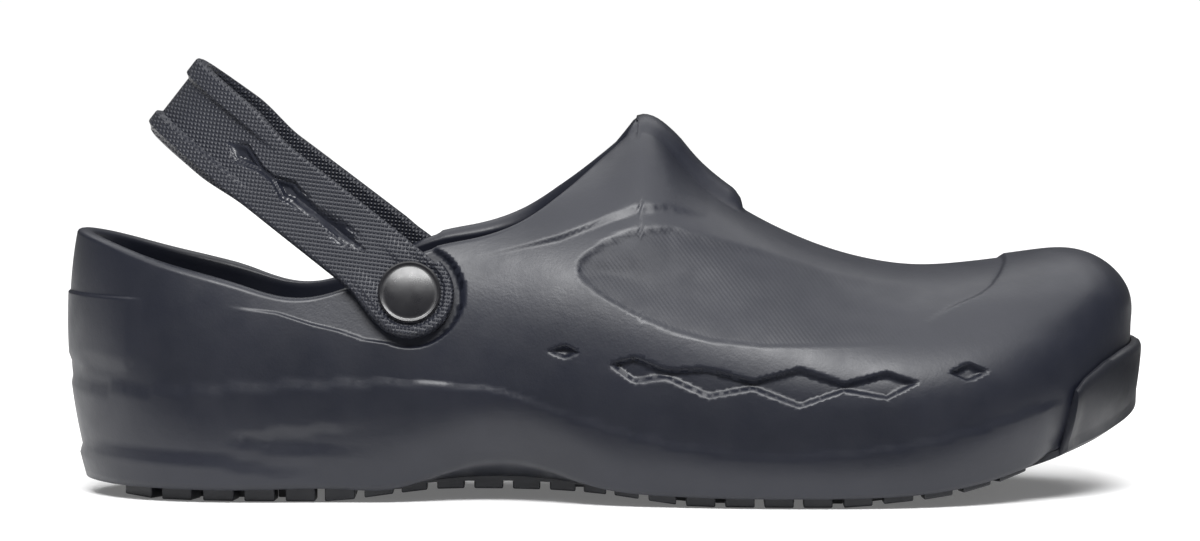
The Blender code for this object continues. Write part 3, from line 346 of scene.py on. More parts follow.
def smooth_curve(knots, values):
    """Natural cubic curve through the knots."""
    count = len(knots)
    step = np.diff(knots)
    slope = np.diff(values) / step
    matrix = np.eye(count)
    right = np.zeros(count)
    for i in range(1, count - 1):
        matrix[i, i - 1:i + 2] = step[i - 1], 2 * (step[i - 1] + step[i]), step[i]
        right[i] = 6 * (slope[i] - slope[i - 1])
    bend = np.linalg.solve(matrix, right)

    def value(at):
        at = np.clip(at, knots[0], knots[-1])
        i = np.clip(np.searchsorted(knots, at, side="right") - 1, 0, count - 2)
        t = at - knots[i]
        start = slope[i] - step[i] * (2 * bend[i] + bend[i + 1]) / 6
        return values[i] + t * (start + t * (bend[i] / 2 + t * (bend[i + 1] - bend[i]) / (6 * step[i])))

    return value


def along(table, name, size=1.0):
    """A column as a smooth function of the turn."""
    return smooth_curve(turn(table["station"]), table[name] * size)


def straight(table, name, x, size=1.0):
    """A column read at a distance from the heel, with straight runs between rows."""
    return np.interp(x / BODY_LENGTH, table["station"], table[name]) * size


def ease(x):
    x = np.clip(x, 0, 1)
    return x * x * (3 - 2 * x)


spine_at = along(PLAN, "spine", BODY_LENGTH)
centre_at = along(PLAN, "centre")
half_at = {LATERAL: along(PLAN, "lateral"), MEDIAL: along(PLAN, "medial")}
widest_at = along(WALLS, "widest", INSTEP_HEIGHT)
edge_at = along(WALLS, "edge", INSTEP_HEIGHT)
tread_at = along(WALLS, "tread", INSTEP_HEIGHT)
tuck_at = along(WALLS, "tuck", BALL_WIDTH)
fullness_at = along(WALLS, "fullness")
floor_at = along(WALLS, "floor", INSTEP_HEIGHT)
crown_at = along(CROWN, "height", INSTEP_HEIGHT)
backbone_at = along(BACKBONE, "height", INSTEP_HEIGHT)
rim_at = along(RIM, "height", INSTEP_HEIGHT)
side_line_at = along(SIDE_LINE, "height", INSTEP_HEIGHT)
TURN_DECIMALS = 6
PEAK_TURN = round(float(turn(RIM["station"][-1])), TURN_DECIMALS)


def by_x(curve, x):
    return curve(turn(x / BODY_LENGTH))


def width_unit(s):
    """Local width: the heel's, then the ball's."""
    return HEEL_WIDTH + (BALL_WIDTH - HEEL_WIDTH) * ease((station_of(s) - WAIST_START) / WAIST_LENGTH)


def plan_rays(side, s):
    """Spine points and the rays from them to the widest outline."""
    width = width_unit(s)
    middle = centre_at(s) * width
    outline = np.stack([BODY_LENGTH * station_of(s), side * half_at[side](s) * width], -1)
    spine = np.stack([spine_at(s), middle], -1)
    return spine, outline - spine


def toe_wrap(s):
    """How far the sole's edge has turned into the bumper: from 0 behind the toe to 1 at its front."""
    return ease((station_of(s) - WRAP_START) / WRAP_LENGTH)


def lifted_edge(s):
    """The body's lower edge makes room for the tread slab where the bumper wraps it."""
    return edge_at(s) + SLAB * toe_wrap(s)


def top_at(x, across):
    """Height that the sections aim for: the crown near the centre line, the backbone beside it."""
    backbone = by_x(backbone_at, x)
    near = np.clip(1 - across ** 2, 0, 1) ** PEAK_FALL
    return backbone + (by_x(crown_at, x) - backbone) * near


def upper_angle(side, s, shrink, drop):
    """Largest section angle: up to the rim behind the peak, up to the centre line ahead of it."""
    spine, ray = plan_rays(side, s)
    reach = lengths(ray)
    power = fullness_at(s)
    inner = (reach - shrink) / reach
    low = widest_at(s)
    under = np.zeros(np.shape(s))
    over = np.full(np.shape(s), np.pi / 2)
    for _ in range(30):
        angle = (under + over) / 2
        across = inner * np.cos(angle) ** (2 / power)
        x = spine[..., 0] + ray[..., 0] * across
        height = low + (top_at(x, across) - shrink - low) * np.sin(angle) ** (2 / power)
        below = height < by_x(rim_at, x) - drop(x)
        under = np.where(below, angle, under)
        over = np.where(below, over, angle)
    return np.where(s >= PEAK_TURN - 1e-9, np.pi / 2, angle)


def rim_drop(x):
    """The inner rim lies beside the outer one at the heel and under it at the peak."""
    return WALL * ease((x / BODY_LENGTH - 0.20) / (float(RIM["station"][-1]) - 0.20))


def no_drop(x):
    return 0 * x


def last_point(side, s, v, shrink=0.0, drop=no_drop):
    """A point of the last: v from -1 at the underside's centre, 0 at the edge, to 1 at the rim or crown.

    The lower wall takes v up to WALL_SHARE.
    """
    s, v = np.broadcast_arrays(np.asarray(s, float), np.asarray(v, float))
    spine, ray = plan_rays(side, s)
    reach = lengths(ray)
    power = fullness_at(s)
    low = widest_at(s)
    bottom = lifted_edge(s)
    up = np.clip((v - WALL_SHARE) / (1 - WALL_SHARE), 0, 1)
    angle = up * upper_angle(side, s, shrink, drop)
    down = np.clip(1 - np.clip(v, 0, 1) / WALL_SHARE, 0, 1)
    tucked = (reach - shrink - tuck_at(s) * down ** 2) / reach
    across = np.where(v >= WALL_SHARE, (reach - shrink) / reach * np.cos(angle) ** (2 / power), tucked)
    across = across * np.where(v < 0, 1 + v, 1)
    x = spine[..., 0] + ray[..., 0] * across
    y = spine[..., 1] + ray[..., 1] * across
    top = low + (top_at(x, across) - shrink - low) * np.sin(angle) ** (2 / power)
    z = np.where(v >= WALL_SHARE, top, low - (low - bottom) * down)
    return np.stack([x, y, z], -1)


def side_normal(side, s, v):
    """Outward normals of one side by small differences."""
    step = 1e-4
    v = np.clip(v, step, 1 - step)
    s = np.clip(s, step, 1 - step)
    along_s = last_point(side, s + step, v) - last_point(side, s - step, v)
    along_v = last_point(side, s, v + step) - last_point(side, s, v - step)
    return unit(np.cross(along_s, along_v) * -side)


def last_normal(side, s, v):
    """Outward normals, which both sides share where they meet on the centre line."""
    s, v = np.broadcast_arrays(np.asarray(s, float), np.asarray(v, float))
    normal = side_normal(side, s, v)
    ends = (s == 0) | (s == 1)
    shared = (normal + side_normal(-side, s, v)) * [1, 0, 1]
    normal = np.where(ends[..., None], shared, normal)
    x = last_point(side, s, v)[..., 0]
    step = 1e-5
    slope = (by_x(crown_at, x + step) - by_x(crown_at, x - step)) / (2 * step)
    crest = np.stack([-slope, 0 * slope, 1 + 0 * slope], -1)
    normal = np.where(((v == 1) & (s >= PEAK_TURN))[..., None], crest, normal)
    return unit(normal)


def strip_depth(area, x, z):
    """How far a point lies inside the nearer of a strip's two edges."""
    below = z - straight(area, "lower", x, INSTEP_HEIGHT)
    above = straight(area, "upper", x, INSTEP_HEIGHT) - z
    return np.minimum(below, above)


def relief(s, point):
    """How far the wall stands out of the plain last at each point, from its steps and recesses."""
    x, y, z = np.moveaxis(point, -1, 0)
    station = x / BODY_LENGTH
    off_centre = np.abs(y - centre_at(s) * width_unit(s))
    out = SIDE_STEP * ease((by_x(side_line_at, x) - z) / SIDE_STEP_WALL)
    out = out * ease((SIDE_LINE_END - station) / SIDE_LINE_FADE)
    ledge = straight(LEDGE_LINE, "height", x, INSTEP_HEIGHT)
    out = out + FOOT_LEDGE * straight(LEDGE_LINE, "reach", x) * ease((ledge - z) / FOOT_LEDGE)
    for strand in STRANDS:
        middle = straight(strand, "height", x, INSTEP_HEIGHT)
        inside = straight(strand, "half", x, INSTEP_HEIGHT) - np.abs(z - middle)
        out = out - CHAIN_DEPTH * np.clip(inside / CHAIN_WALL, 0, 1)
    for area, depth, wall in ((PANEL, -PANEL_DEPTH, PANEL_WALL), (NOTCH, -NOTCH_DEPTH, NOTCH_WALL),
                              (HEEL_TAB, HEEL_TAB_STEP, HEEL_TAB_STEP)):
        inside = strip_depth(area, x, z)
        if area["station"][0] > 0:
            inside = np.minimum(inside, (station - area["station"][0]) * BODY_LENGTH)
        share = straight(area, "depth", x)
        out = out + depth * share * ease(inside / wall)
        if area is PANEL:
            out = out - PANEL_DISH * share * ease(inside / PANEL_DISH_WIDTH)
    cap = (station - np.interp(z / INSTEP_HEIGHT, CAP_LINE["height"], CAP_LINE["station"])) * BODY_LENGTH
    out = out + CAP_STEP * ease(cap / CAP_WALL) * ease((z / INSTEP_HEIGHT - CAP_BOTTOM) / CAP_FADE)
    crease = z - straight(CREASE_LINE, "height", x, INSTEP_HEIGHT)
    out = out + CREASE_STEP * straight(CREASE_LINE, "reach", x) * ease(crease / CREASE_STEP)
    rib = straight(RIB, "height", x, RIB_HEIGHT)
    out = out + rib * np.sqrt(np.clip(1 - (off_centre / RIB_HALF_WIDTH) ** 2, 0, 1)) * (z > INSTEP_HEIGHT / 2)
    return out


def seat_axis(side):
    """Direction in which a strap seat faces."""
    return np.array([0.0, side * np.cos(SEAT_LEAN), np.sin(SEAT_LEAN)])


def seat_centre(side):
    """Where the rivet's axis meets the seat."""
    s, v = locate(side, PIVOT_X, PIVOT_Z)
    return last_point(side, s, v) - SEAT_DEPTH * seat_axis(side)


def press_seat(side, point):
    """The wall round the rivet is pressed flat, within a round step, and fades out behind it."""
    axis = seat_axis(side)
    away = point - SEAT_CENTRE[side]
    height = away @ axis
    radius = lengths(away - height[..., None] * axis)
    inside = ease((SEAT_RADIUS - radius) / SEAT_WALL)
    x = point[..., 0]
    tail = ease((point[..., 2] - straight(SEAT_TAIL, "height", x, INSTEP_HEIGHT)) / SEAT_WALL)
    tail = tail * straight(SEAT_TAIL, "reach", x) * (x < PIVOT_X)
    return point - (np.clip(height, 0, None) * np.maximum(inside, tail))[..., None] * axis


def skin(side, s, v):
    """The body's finished outer face."""
    point = last_point(side, s, v)
    return press_seat(side, point + last_normal(side, s, v) * relief(s, point)[..., None])


def locate(side, x, z):
    """The turn and v of the wall point that lies at x and z seen square from the side."""
    x, z = np.broadcast_arrays(np.atleast_1d(np.asarray(x, float)), np.atleast_1d(np.asarray(z, float)))
    s = turn(x / BODY_LENGTH)
    v = np.full(s.shape, 0.5)
    step = 1e-4
    for _ in range(25):
        here = last_point(side, s, v)
        by_s = (last_point(side, s + step, v) - here)[..., [0, 2]] / step
        by_v = (last_point(side, s, v + step) - here)[..., [0, 2]] / step
        miss = np.stack([x - here[..., 0], z - here[..., 2]], -1)
        scale = by_s[..., 0] * by_v[..., 1] - by_s[..., 1] * by_v[..., 0]
        ds = (miss[..., 0] * by_v[..., 1] - miss[..., 1] * by_v[..., 0]) / scale
        dv = (by_s[..., 0] * miss[..., 1] - by_s[..., 1] * miss[..., 0]) / scale
        s = np.clip(s + np.clip(ds, -0.05, 0.05), 0.001, 0.999)
        v = np.clip(v + np.clip(dv, -0.08, 0.08), 0.001, 0.999)
    return s, v


SEAT_CENTRE = {side: seat_centre(side)[0] for side in (LATERAL, MEDIAL)}
MIDDLE = LENGTH / 2 - HEEL_TAB_STEP


def slab_share(side, s):
    """Where the tread slab ends, as a share of the way from the centre to the lower edge."""
    reach = lengths(plan_rays(side, s)[1]) - tuck_at(s)
    station = station_of(s)
    arch = ease((station - ARCH_START) / ARCH_RISE) * ease((ARCH_END - station) / ARCH_FALL)
    margin = (SOLE_MARGIN + (ARCH_MARGIN - SOLE_MARGIN) * arch) * (1 - toe_wrap(s))
    return 1 - margin / reach


def underside(side, s, share, layer=0.0):
    """Points on the tread slab's underside, or a layer above it, at a share of the way out to the edge."""
    point = last_point(side, s, share - 1)
    point[..., 2] = by_x(tread_at, point[..., 0]) + layer
    return point


def floor_reach(side, s):
    """The v at which the inner wall meets the floor."""
    low = widest_at(s)
    height = floor_at(s)
    for _ in range(4):
        v = WALL_SHARE * (height - lifted_edge(s)) / (low - lifted_edge(s))
        height = by_x(floor_at, inner_point(side, s, v)[..., 0])
    return v


def inner_point(side, s, v):
    return last_point(side, s, v, WALL, rim_drop)


def bumper_share(s):
    """The v that the bumper reaches on the toe, zero behind its end."""
    station = station_of(s)
    top = np.interp(station, BUMPER_TOP["station"], BUMPER_TOP["height"]) * INSTEP_HEIGHT
    low = widest_at(s)
    down = (low - top) / (low - lifted_edge(s))
    return np.where(station >= BUMPER_START - 1e-6, WALL_SHARE * (1 - down), 0)


def outward_edge(side, station, inset):
    """A plan point at a distance inside the slab's edge."""
    s = turn(station)
    edge = underside(side, s, slab_share(side, s))[..., :2]
    return edge + unit(plan_rays(side, s)[0] - edge) * inset


def strap_path(side, count):
    """Middle of one arm's inner face, from the pivot to the back of the heel."""
    start = SEAT_CENTRE[side] + seat_axis(side) * (GAP + BAND_RAISE)
    corner = np.linspace(0, np.pi / 2, count)
    bend = STRAP_REACH - STRAP_THICKNESS - STRAP_STRAIGHT
    run = np.linspace(0, 1, STRAIGHT_ROWS + 1)[:-1] * STRAP_STRAIGHT
    reach = np.concatenate([run, STRAP_STRAIGHT + bend * np.sin(corner)])
    slope = np.sin(STRAP_ANGLE) * np.tan(SEAT_LEAN)
    half = abs(start[1]) - slope * reach
    round_part = np.concatenate([0 * run + 1, np.cos(corner) ** STRAP_SQUARENESS])
    points = start * [1, 0, 1] + np.outer(reach, ARM_BACK)
    points[:, 1] = side * half * round_part
    return points, reach


def wall_back(side):
    """How far behind the seat the inner wall lies, where it lies deepest under the rivet's flange."""
    s, v = locate(side, PIVOT_X, PIVOT_Z)
    near_s, near_v = np.meshgrid(s + np.linspace(-0.04, 0.04, 41), v + np.linspace(-0.3, 0.3, 41))
    away = inner_point(side, near_s, near_v) - SEAT_CENTRE[side]
    height = away @ seat_axis(side)
    radius = lengths(away - height[..., None] * seat_axis(side))
    return height[radius < RIVET_INNER_RADIUS].min()


# Dense grids for the visible surfaces
OUTLINE_STEP = 0.00090
SNAP_REACH = 0.00025
SNAP_PATH_STEP = 0.0001
# Metres on the wall for one of s and one of v, about
SNAP_SCALE = np.array([0.30, 0.095])
LOWER_ROWS = 20
CHAIN_ROWS = 34
CHAIN_TOP = 0.54
UPPER_ROWS = 42
CAVITY_ROWS = 14
CAVITY_FLOOR_ROWS = 5
RIM_STEPS = 8
RIM_BULGE = 0.30
BAND_STATIONS = 230
BAND_ROWS = 70
BAND_CORNER = 0.0011
# Points along the arm's path and round its end, and how many of them lie on a straight line
PATH_ROWS = 90
TIP_ROWS = 24
STRAIGHT_START = 30
OFFSET_RUN = 0.012


def dense_turns():
    """Turns spaced evenly along the outline, with one at the peak."""
    fine = np.linspace(0, 1, 4000)
    outline = last_point(LATERAL, fine, WALL_SHARE)[:, :2]
    run = run_along(outline)
    count = int(run[-1] / OUTLINE_STEP)
    turns = np.interp(np.linspace(0, run[-1], count + 1), run, fine)
    turns[np.abs(turns - PEAK_TURN).argmin()] = PEAK_TURN
    return turns


def mesh_piece(name, points, faces, finish, sharp=50):
    """An object from points and faces, its doubles merged, riding on the frame."""
    mesh = bpy.data.meshes.new(name)
    mesh.from_pydata([(x - MIDDLE, y, z) for x, y, z in points], [], faces)
    shape = bmesh.new()
    shape.from_mesh(mesh)
    bmesh.ops.remove_doubles(shape, verts=shape.verts, dist=2e-6)
    bmesh.ops.dissolve_degenerate(shape, edges=shape.edges, dist=2e-6)
    bmesh.ops.recalc_face_normals(shape, faces=shape.faces)
    shape.to_mesh(mesh)
    shape.free()
    mesh.shade_smooth()
    if sharp:
        mesh.set_sharp_from_angle(angle=np.radians(sharp))
    mesh.materials.append(finish)
    piece = bpy.data.objects.new(name, mesh)
    bpy.context.scene.collection.objects.link(piece)
    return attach(piece, "root")


def grid_faces(first, count, width):
    """Quads over a grid of count rows and width columns."""
    i, j = np.meshgrid(np.arange(count - 1), np.arange(width - 1), indexing="ij")
    a = (first + i * width + j).ravel()
    return np.stack([a, a + 1, a + width + 1, a + width], -1).tolist()


class Shell:
    """Grids of points gathered for one piece."""

    def __init__(self):
        self.points = []
        self.faces = []
        self.count = 0

    def grid(self, rows):
        self.faces += grid_faces(self.count, *rows.shape[:2])
        self.points.append(rows.reshape(-1, 3))
        self.count += rows.shape[0] * rows.shape[1]

    def loose(self, points, faces):
        self.faces += [[self.count + i for i in face] for face in faces]
        self.points.append(np.asarray(points, float))
        self.count += len(points)

    def piece(self, name, finish, sharp=50):
        return mesh_piece(name, np.concatenate(self.points), self.faces, finish, sharp)


def body_underside(side, turns):
    """Rows of the body's underside: the slab's recess, its step and the lip round it."""
    share = slab_share(side, turns)
    rows = [underside(side, turns, share * part, SLAB) for part in (0, 0.25, 0.5, 0.75, 1)]
    lip = underside(side, turns, share + (1 - share) * 0.06)
    lip[:, 2] += (edge_at(turns) - tread_at(turns)) * 0.2 + lifted_edge(turns) - edge_at(turns)
    rows.append(lip)
    rows.append(skin(side, turns, 0.0 * turns))
    return np.stack(rows, 1)


def snapped(s, v, lines):
    """Grid points close to a step's edge are moved onto it, so that each edge is crisp."""
    scale = SNAP_SCALE
    tree_points = []
    for path_s, path_v in lines:
        path = np.stack([path_s, path_v], -1) * scale
        length = run_along(path)
        at = np.arange(0, length[-1], SNAP_PATH_STEP)
        tree_points.append(np.stack([np.interp(at, length, path[:, k]) for k in range(2)], -1))
    dense = np.concatenate(tree_points)
    tree = kdtree.KDTree(len(dense))
    for i, (a, b) in enumerate(dense):
        tree.insert((a, b, 0), i)
    tree.balance()
    flat_s, flat_v = s.ravel().copy(), v.ravel().copy()
    inner = (flat_s > 0.002) & (flat_s < 0.998) & (flat_v > 0.005) & (flat_v < 0.995)
    for i in np.nonzero(inner)[0]:
        spot, _, distance = tree.find((flat_s[i] * scale[0], flat_v[i] * scale[1], 0))
        if distance < SNAP_REACH:
            flat_s[i] = spot[0] / scale[0]
            flat_v[i] = spot[1] / scale[1]
    return flat_s.reshape(s.shape), flat_v.reshape(v.shape)


def edge_lines(side):
    """Edges of the steps as turn and v along each."""
    found = []
    for strand in STRANDS:
        x = strand["station"] * BODY_LENGTH
        middle = strand["height"] * INSTEP_HEIGHT
        half = strand["half"] * INSTEP_HEIGHT
        for inset in (0.0, CHAIN_WALL):
            keep = half > inset
            ends = inset * 1.5
            xs = np.array([x[0] + ends, *x[keep], x[-1] - ends])
            found.append(locate(side, xs, np.array([middle[0], *(middle + half - inset)[keep], middle[-1]])))
            found.append(locate(side, xs, np.array([middle[0], *(middle - half + inset)[keep], middle[-1]])))
    x = np.linspace(0.012, 0.93, 120) * BODY_LENGTH
    for lower in (0.0, SIDE_STEP_WALL):
        found.append(locate(side, x, by_x(side_line_at, x) - lower))
    for area, count, wall in ((PANEL, 8, PANEL_WALL), (NOTCH, 4, NOTCH_WALL)):
        area_x = area["station"][:count] * BODY_LENGTH
        for inset in (0.0, wall):
            low = area["lower"][:count] * INSTEP_HEIGHT + inset
            high = area["upper"][:count] * INSTEP_HEIGHT - inset
            path_x = np.concatenate([area_x[:0:-1], [area_x[0] + inset], area_x[1:]])
            path_z = np.concatenate([low[:0:-1], [(low[0] + high[0]) / 2], high[1:]])
            found.append(locate(side, path_x, path_z))
    angles = np.linspace(-0.68 * np.pi, 0.40 * np.pi, 40)
    for inset in (0.0, SEAT_WALL):
        ring_x = PIVOT_X + (SEAT_RADIUS - inset) * np.cos(angles)
        ring_z = PIVOT_Z + (SEAT_RADIUS - inset) * np.sin(angles) * np.cos(SEAT_LEAN)
        tail_x = SEAT_TAIL["station"][1:-1] * BODY_LENGTH
        tail_z = SEAT_TAIL["height"][1:-1] * INSTEP_HEIGHT + inset
        found.append(locate(side, np.concatenate([tail_x, ring_x]), np.concatenate([tail_z, ring_z])))
    return found


def split_quads(points):
    """Triangles over the grid, each quad cut along its shorter diagonal in space."""
    count, width = points.shape[:2]
    i, j = np.meshgrid(np.arange(count - 1), np.arange(width - 1), indexing="ij")
    a = (i * width + j).ravel()
    b, c, d = a + 1, a + width + 1, a + width
    flat = points.reshape(-1, 3)
    short = lengths(flat[a] - flat[c]) < lengths(flat[b] - flat[d])
    first = np.where(short[:, None], np.stack([a, b, c], -1), np.stack([a, b, d], -1))
    second = np.where(short[:, None], np.stack([a, c, d], -1), np.stack([b, c, d], -1))
    return np.concatenate([first, second]).tolist()


def rim_rows(outer, inner):
    """A rounded lip between the outer and the inner rim."""
    ahead = np.gradient(outer, axis=0)
    across = inner - outer
    bulge = np.cross(ahead, across)
    bulge /= np.maximum(np.linalg.norm(bulge, axis=-1, keepdims=True), 1e-9)
    flip = np.sign(bulge[:, 2] - bulge[:, 0] * 0.5)
    height = RIM_BULGE * np.linalg.norm(across, axis=-1, keepdims=True)
    rows = []
    for part in np.linspace(0, np.pi, RIM_STEPS + 1):
        middle = (outer + inner) / 2
        rows.append(middle - across / 2 * np.cos(part) + bulge * flip[:, None] * height * np.sin(part))
    return np.stack(rows, 1)


def build_body(finish):
    turns = dense_turns()
    rows = np.concatenate([np.linspace(0, WALL_SHARE, LOWER_ROWS + 1),
                           np.linspace(WALL_SHARE, CHAIN_TOP, CHAIN_ROWS + 1)[1:],
                           np.linspace(CHAIN_TOP, 1, UPPER_ROWS + 1)[1:]])
    open_turns = turns[turns <= PEAK_TURN + 1e-9]
    shell = Shell()
    for side in (LATERAL, MEDIAL):
        s, v = np.meshgrid(turns, rows, indexing="ij")
        s, v = snapped(s, v, edge_lines(side))
        points = skin(side, s, v)
        shell.loose(points.reshape(-1, 3), split_quads(points))
        shell.grid(body_underside(side, turns))
        inside = cavity_rows(side, turns)
        shell.grid(inside)
        shell.grid(rim_rows(points[:len(open_turns), -1], inside[:len(open_turns), 0]))
    body = shell.piece("foam_body", finish, 0)
    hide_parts("upper")
    return body


def cavity_rows(side, turns):
    """Rows of the cavity: from the rim or crown down the wall, then across the floor."""
    start = floor_reach(side, turns)
    rows = []
    for part in np.linspace(1, 0, CAVITY_ROWS + 1):
        rows.append(inner_point(side, turns, start + (1 - start) * part))
    foot = rows[-1]
    spine, _ = plan_rays(side, turns)
    for part in np.linspace(1, 0, CAVITY_FLOOR_ROWS + 1)[1:]:
        flat = spine + (foot[..., :2] - spine) * part
        rows.append(np.column_stack([flat, by_x(floor_at, flat[:, 0])]))
    return np.stack(rows, 1)


def build_footbed(finish):
    """Footbed: it follows the floor, inset from the wall, with a raised heel cup edge."""
    turns = dense_turns()[::2]
    shell = Shell()
    for side in (LATERAL, MEDIAL):
        floor = cavity_rows(side, turns)[:, CAVITY_ROWS:]
        floor[:, 0] += unit(floor[:, 1] - floor[:, 0]) * INSOLE_EDGE_GAP
        under = floor + [0, 0, GAP]
        out = np.linspace(1, 0, CAVITY_FLOOR_ROWS + 1)
        station = floor[:, :1, 0] / BODY_LENGTH
        cup = INSOLE_CUP * out ** 2 * ease((INSOLE_CUP_END - station) / INSOLE_CUP_FADE)
        over = under.copy()
        over[..., 2] += INSOLE_THICKNESS + cup
        shoulder = under[:, :1].copy()
        shoulder[..., 2] = over[:, :1, 2] - INSOLE_SHOULDER
        over[:, 0] += (over[:, 1] - over[:, 0]) * INSOLE_TOP_INSET
        shell.grid(np.concatenate([under[:, ::-1], shoulder, over], 1))
    footbed = shell.piece("footbed", finish)
    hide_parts("insole")
    return footbed


def build_tread(finish):
    """The rubber slab and its toe bumper."""
    turns = dense_turns()
    start = float(turn(BUMPER_START))
    turns[np.abs(turns - start).argmin()] = start
    station = station_of(turns)
    wrap = toe_wrap(turns)
    shell = Shell()
    for side in (LATERAL, MEDIAL):
        share = slab_share(side, turns)
        reach = lengths(plan_rays(side, turns)[1])
        tight = share - GAP / reach * (1 - wrap)
        under, over = [], []
        for part in (0, 0.3, 0.6, 0.85, 1):
            over.append(underside(side, turns, tight * part, SLAB - GAP))
            under.append(underside(side, turns, tight * part))
        slab_over, slab_under = over[-1], under[-1]
        climb = bumper_share(turns)
        thick = BUMPER_END_THICKNESS + (BUMPER_THICKNESS - BUMPER_END_THICKNESS) \
            * ease((station - BUMPER_START) / (1 - BUMPER_START))
        for part in (0.0, 0.06, 0.12, 0.25, 0.4, 0.55, 0.7, 0.82, 0.9, 0.96, 1.0):
            v = climb * part
            normal = last_normal(side, turns, v)
            at = skin(side, turns, v)
            normal[:, 2] = np.clip(normal[:, 2], -BUMPER_LEAN, 0)
            rounding = max(part - BUMPER_ROUND, 0) / (1 - BUMPER_ROUND)
            full = BUMPER_FOOT + (1 - BUMPER_FOOT) * np.sqrt(np.clip(1 - rounding ** 2, 0, 1))
            clear = GAP * (1 + 2 * ease((BUMPER_START + BUMPER_EASE - station) / BUMPER_EASE))[:, None]
            inner = at + normal * clear
            outer = at + normal * (clear + (thick * full)[:, None])
            back = climb <= 0
            inner[back] = slab_over[back]
            outer[back] = slab_under[back]
            if part == 0:
                inner[~back, 2] -= GAP
                outer[~back, 2] = tread_at(turns)[~back] + BUMPER_LIP
            over.append(inner)
            under.append(outer)
        shell.grid(np.stack(over + under[::-1], 1))
    tread = shell.piece("tread_slab", finish, 40)
    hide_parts("outsole")
    return tread


def prism(shell, corners):
    """A lug: its plan corners, from the ground up into the slab."""
    corners = np.array(corners)
    x = corners[:, 0]
    ground = np.interp(x / BODY_LENGTH, GROUND["station"], GROUND["height"]) * INSTEP_HEIGHT
    low = np.column_stack([corners, ground])
    high = np.column_stack([corners, by_x(tread_at, x) + LUG_SINK])
    count = len(corners)
    faces = [list(range(count)), list(range(2 * count - 1, count - 1, -1))]
    faces += [[i, (i + 1) % count, count + (i + 1) % count, count + i] for i in range(count)]
    shell.loose(np.concatenate([low, high]), faces)


def build_lugs(finish):
    """Blocks round the edge and rows of bars inside them."""
    shell = Shell()
    pitch = LUG_LENGTH + LUG_GAP
    for side in (LATERAL, MEDIAL):
        dense = np.linspace(LUG_START, LUG_END, 600)
        edge = outward_edge(side, dense, LUG_INSET)
        inner = outward_edge(side, dense, LUG_INSET + LUG_WIDTH)
        run = run_along(inner)
        for start in np.arange(0, run[-1] - LUG_LENGTH, pitch):
            a, b = (int(np.searchsorted(run, start + end)) for end in (0, LUG_LENGTH))
            prism(shell, [edge[a], edge[b], inner[b], inner[a]])
    margin = LUG_INSET + LUG_WIDTH + LUG_GAP
    for x in np.arange(BAR_START * BODY_LENGTH, BAR_END * BODY_LENGTH, BAR_LENGTH + BAR_GAP):
        ends = {}
        for side in (LATERAL, MEDIAL):
            reach = [outward_edge(side, (x + part * BAR_LENGTH) / BODY_LENGTH, margin)[1] for part in (0, 1)]
            ends[side] = side * min(side * y for y in reach)
        room = ends[MEDIAL] - ends[LATERAL]
        count = int((room + LUG_GAP) // (BAR_WIDTH + LUG_GAP))
        if count < 1:
            continue
        width = (room + LUG_GAP) / count - LUG_GAP
        for i in range(count):
            y = ends[LATERAL] + i * (width + LUG_GAP)
            prism(shell, [(x, y), (x + BAR_LENGTH, y), (x + BAR_LENGTH, y + width), (x, y + width)])
    lugs = shell.piece("tread_lugs", finish, 30)
    soften = lugs.modifiers.new("Soft edges", "BEVEL")
    soften.width = LUG_BEVEL
    soften.segments = 2
    return lugs


# Chain on the strap's arm: distance from the pivot, half height of its recess
ARM_CHAIN = columns("reach half", (
    (0.0188, 0.0000), (0.0205, 0.0006), (0.0253, 0.0033), (0.0302, 0.0011), (0.0342, 0.0011),
    (0.0426, 0.0033), (0.0476, 0.0011), (0.0516, 0.0011), (0.0584, 0.0033), (0.0640, 0.0006),
    (0.0656, 0.0000),
))
ARM_CHAIN_OFFSET = 0.0016
ARM_CHAIN_DEPTH = 0.0012
ARM_CHAIN_WALL = 0.0006
ARM_CHAIN_LAND = 0.0014
ARM_DIMPLE_DEPTH = 0.0012
ARM_DIMPLE_WALL = 0.0008
RING_RIM = 0.0030
FILLET = 0.0012
FILLET_PLACE = 0.0075
FILLET_SPREAD = 0.0045


def arm_chain_inside(reach, height):
    """How far a point of the arm lies inside the outline of its chain."""
    return np.interp(reach, ARM_CHAIN["reach"], ARM_CHAIN["half"]) - np.abs(height - ARM_CHAIN_OFFSET)


def arm_half(reach):
    """Half width of the arm's outline: the round end, a fillet, then the band."""
    disc_part = np.sqrt(np.clip(RING_RADIUS ** 2 - reach ** 2, 0, None))
    band = STRAP_WIDTH / 2 + 0 * reach
    joined = np.where(reach < 0, disc_part, np.maximum(disc_part, band))
    fillet = FILLET * np.exp(-((reach - FILLET_PLACE) / FILLET_SPREAD) ** 2) * (reach > 0)
    return joined + fillet


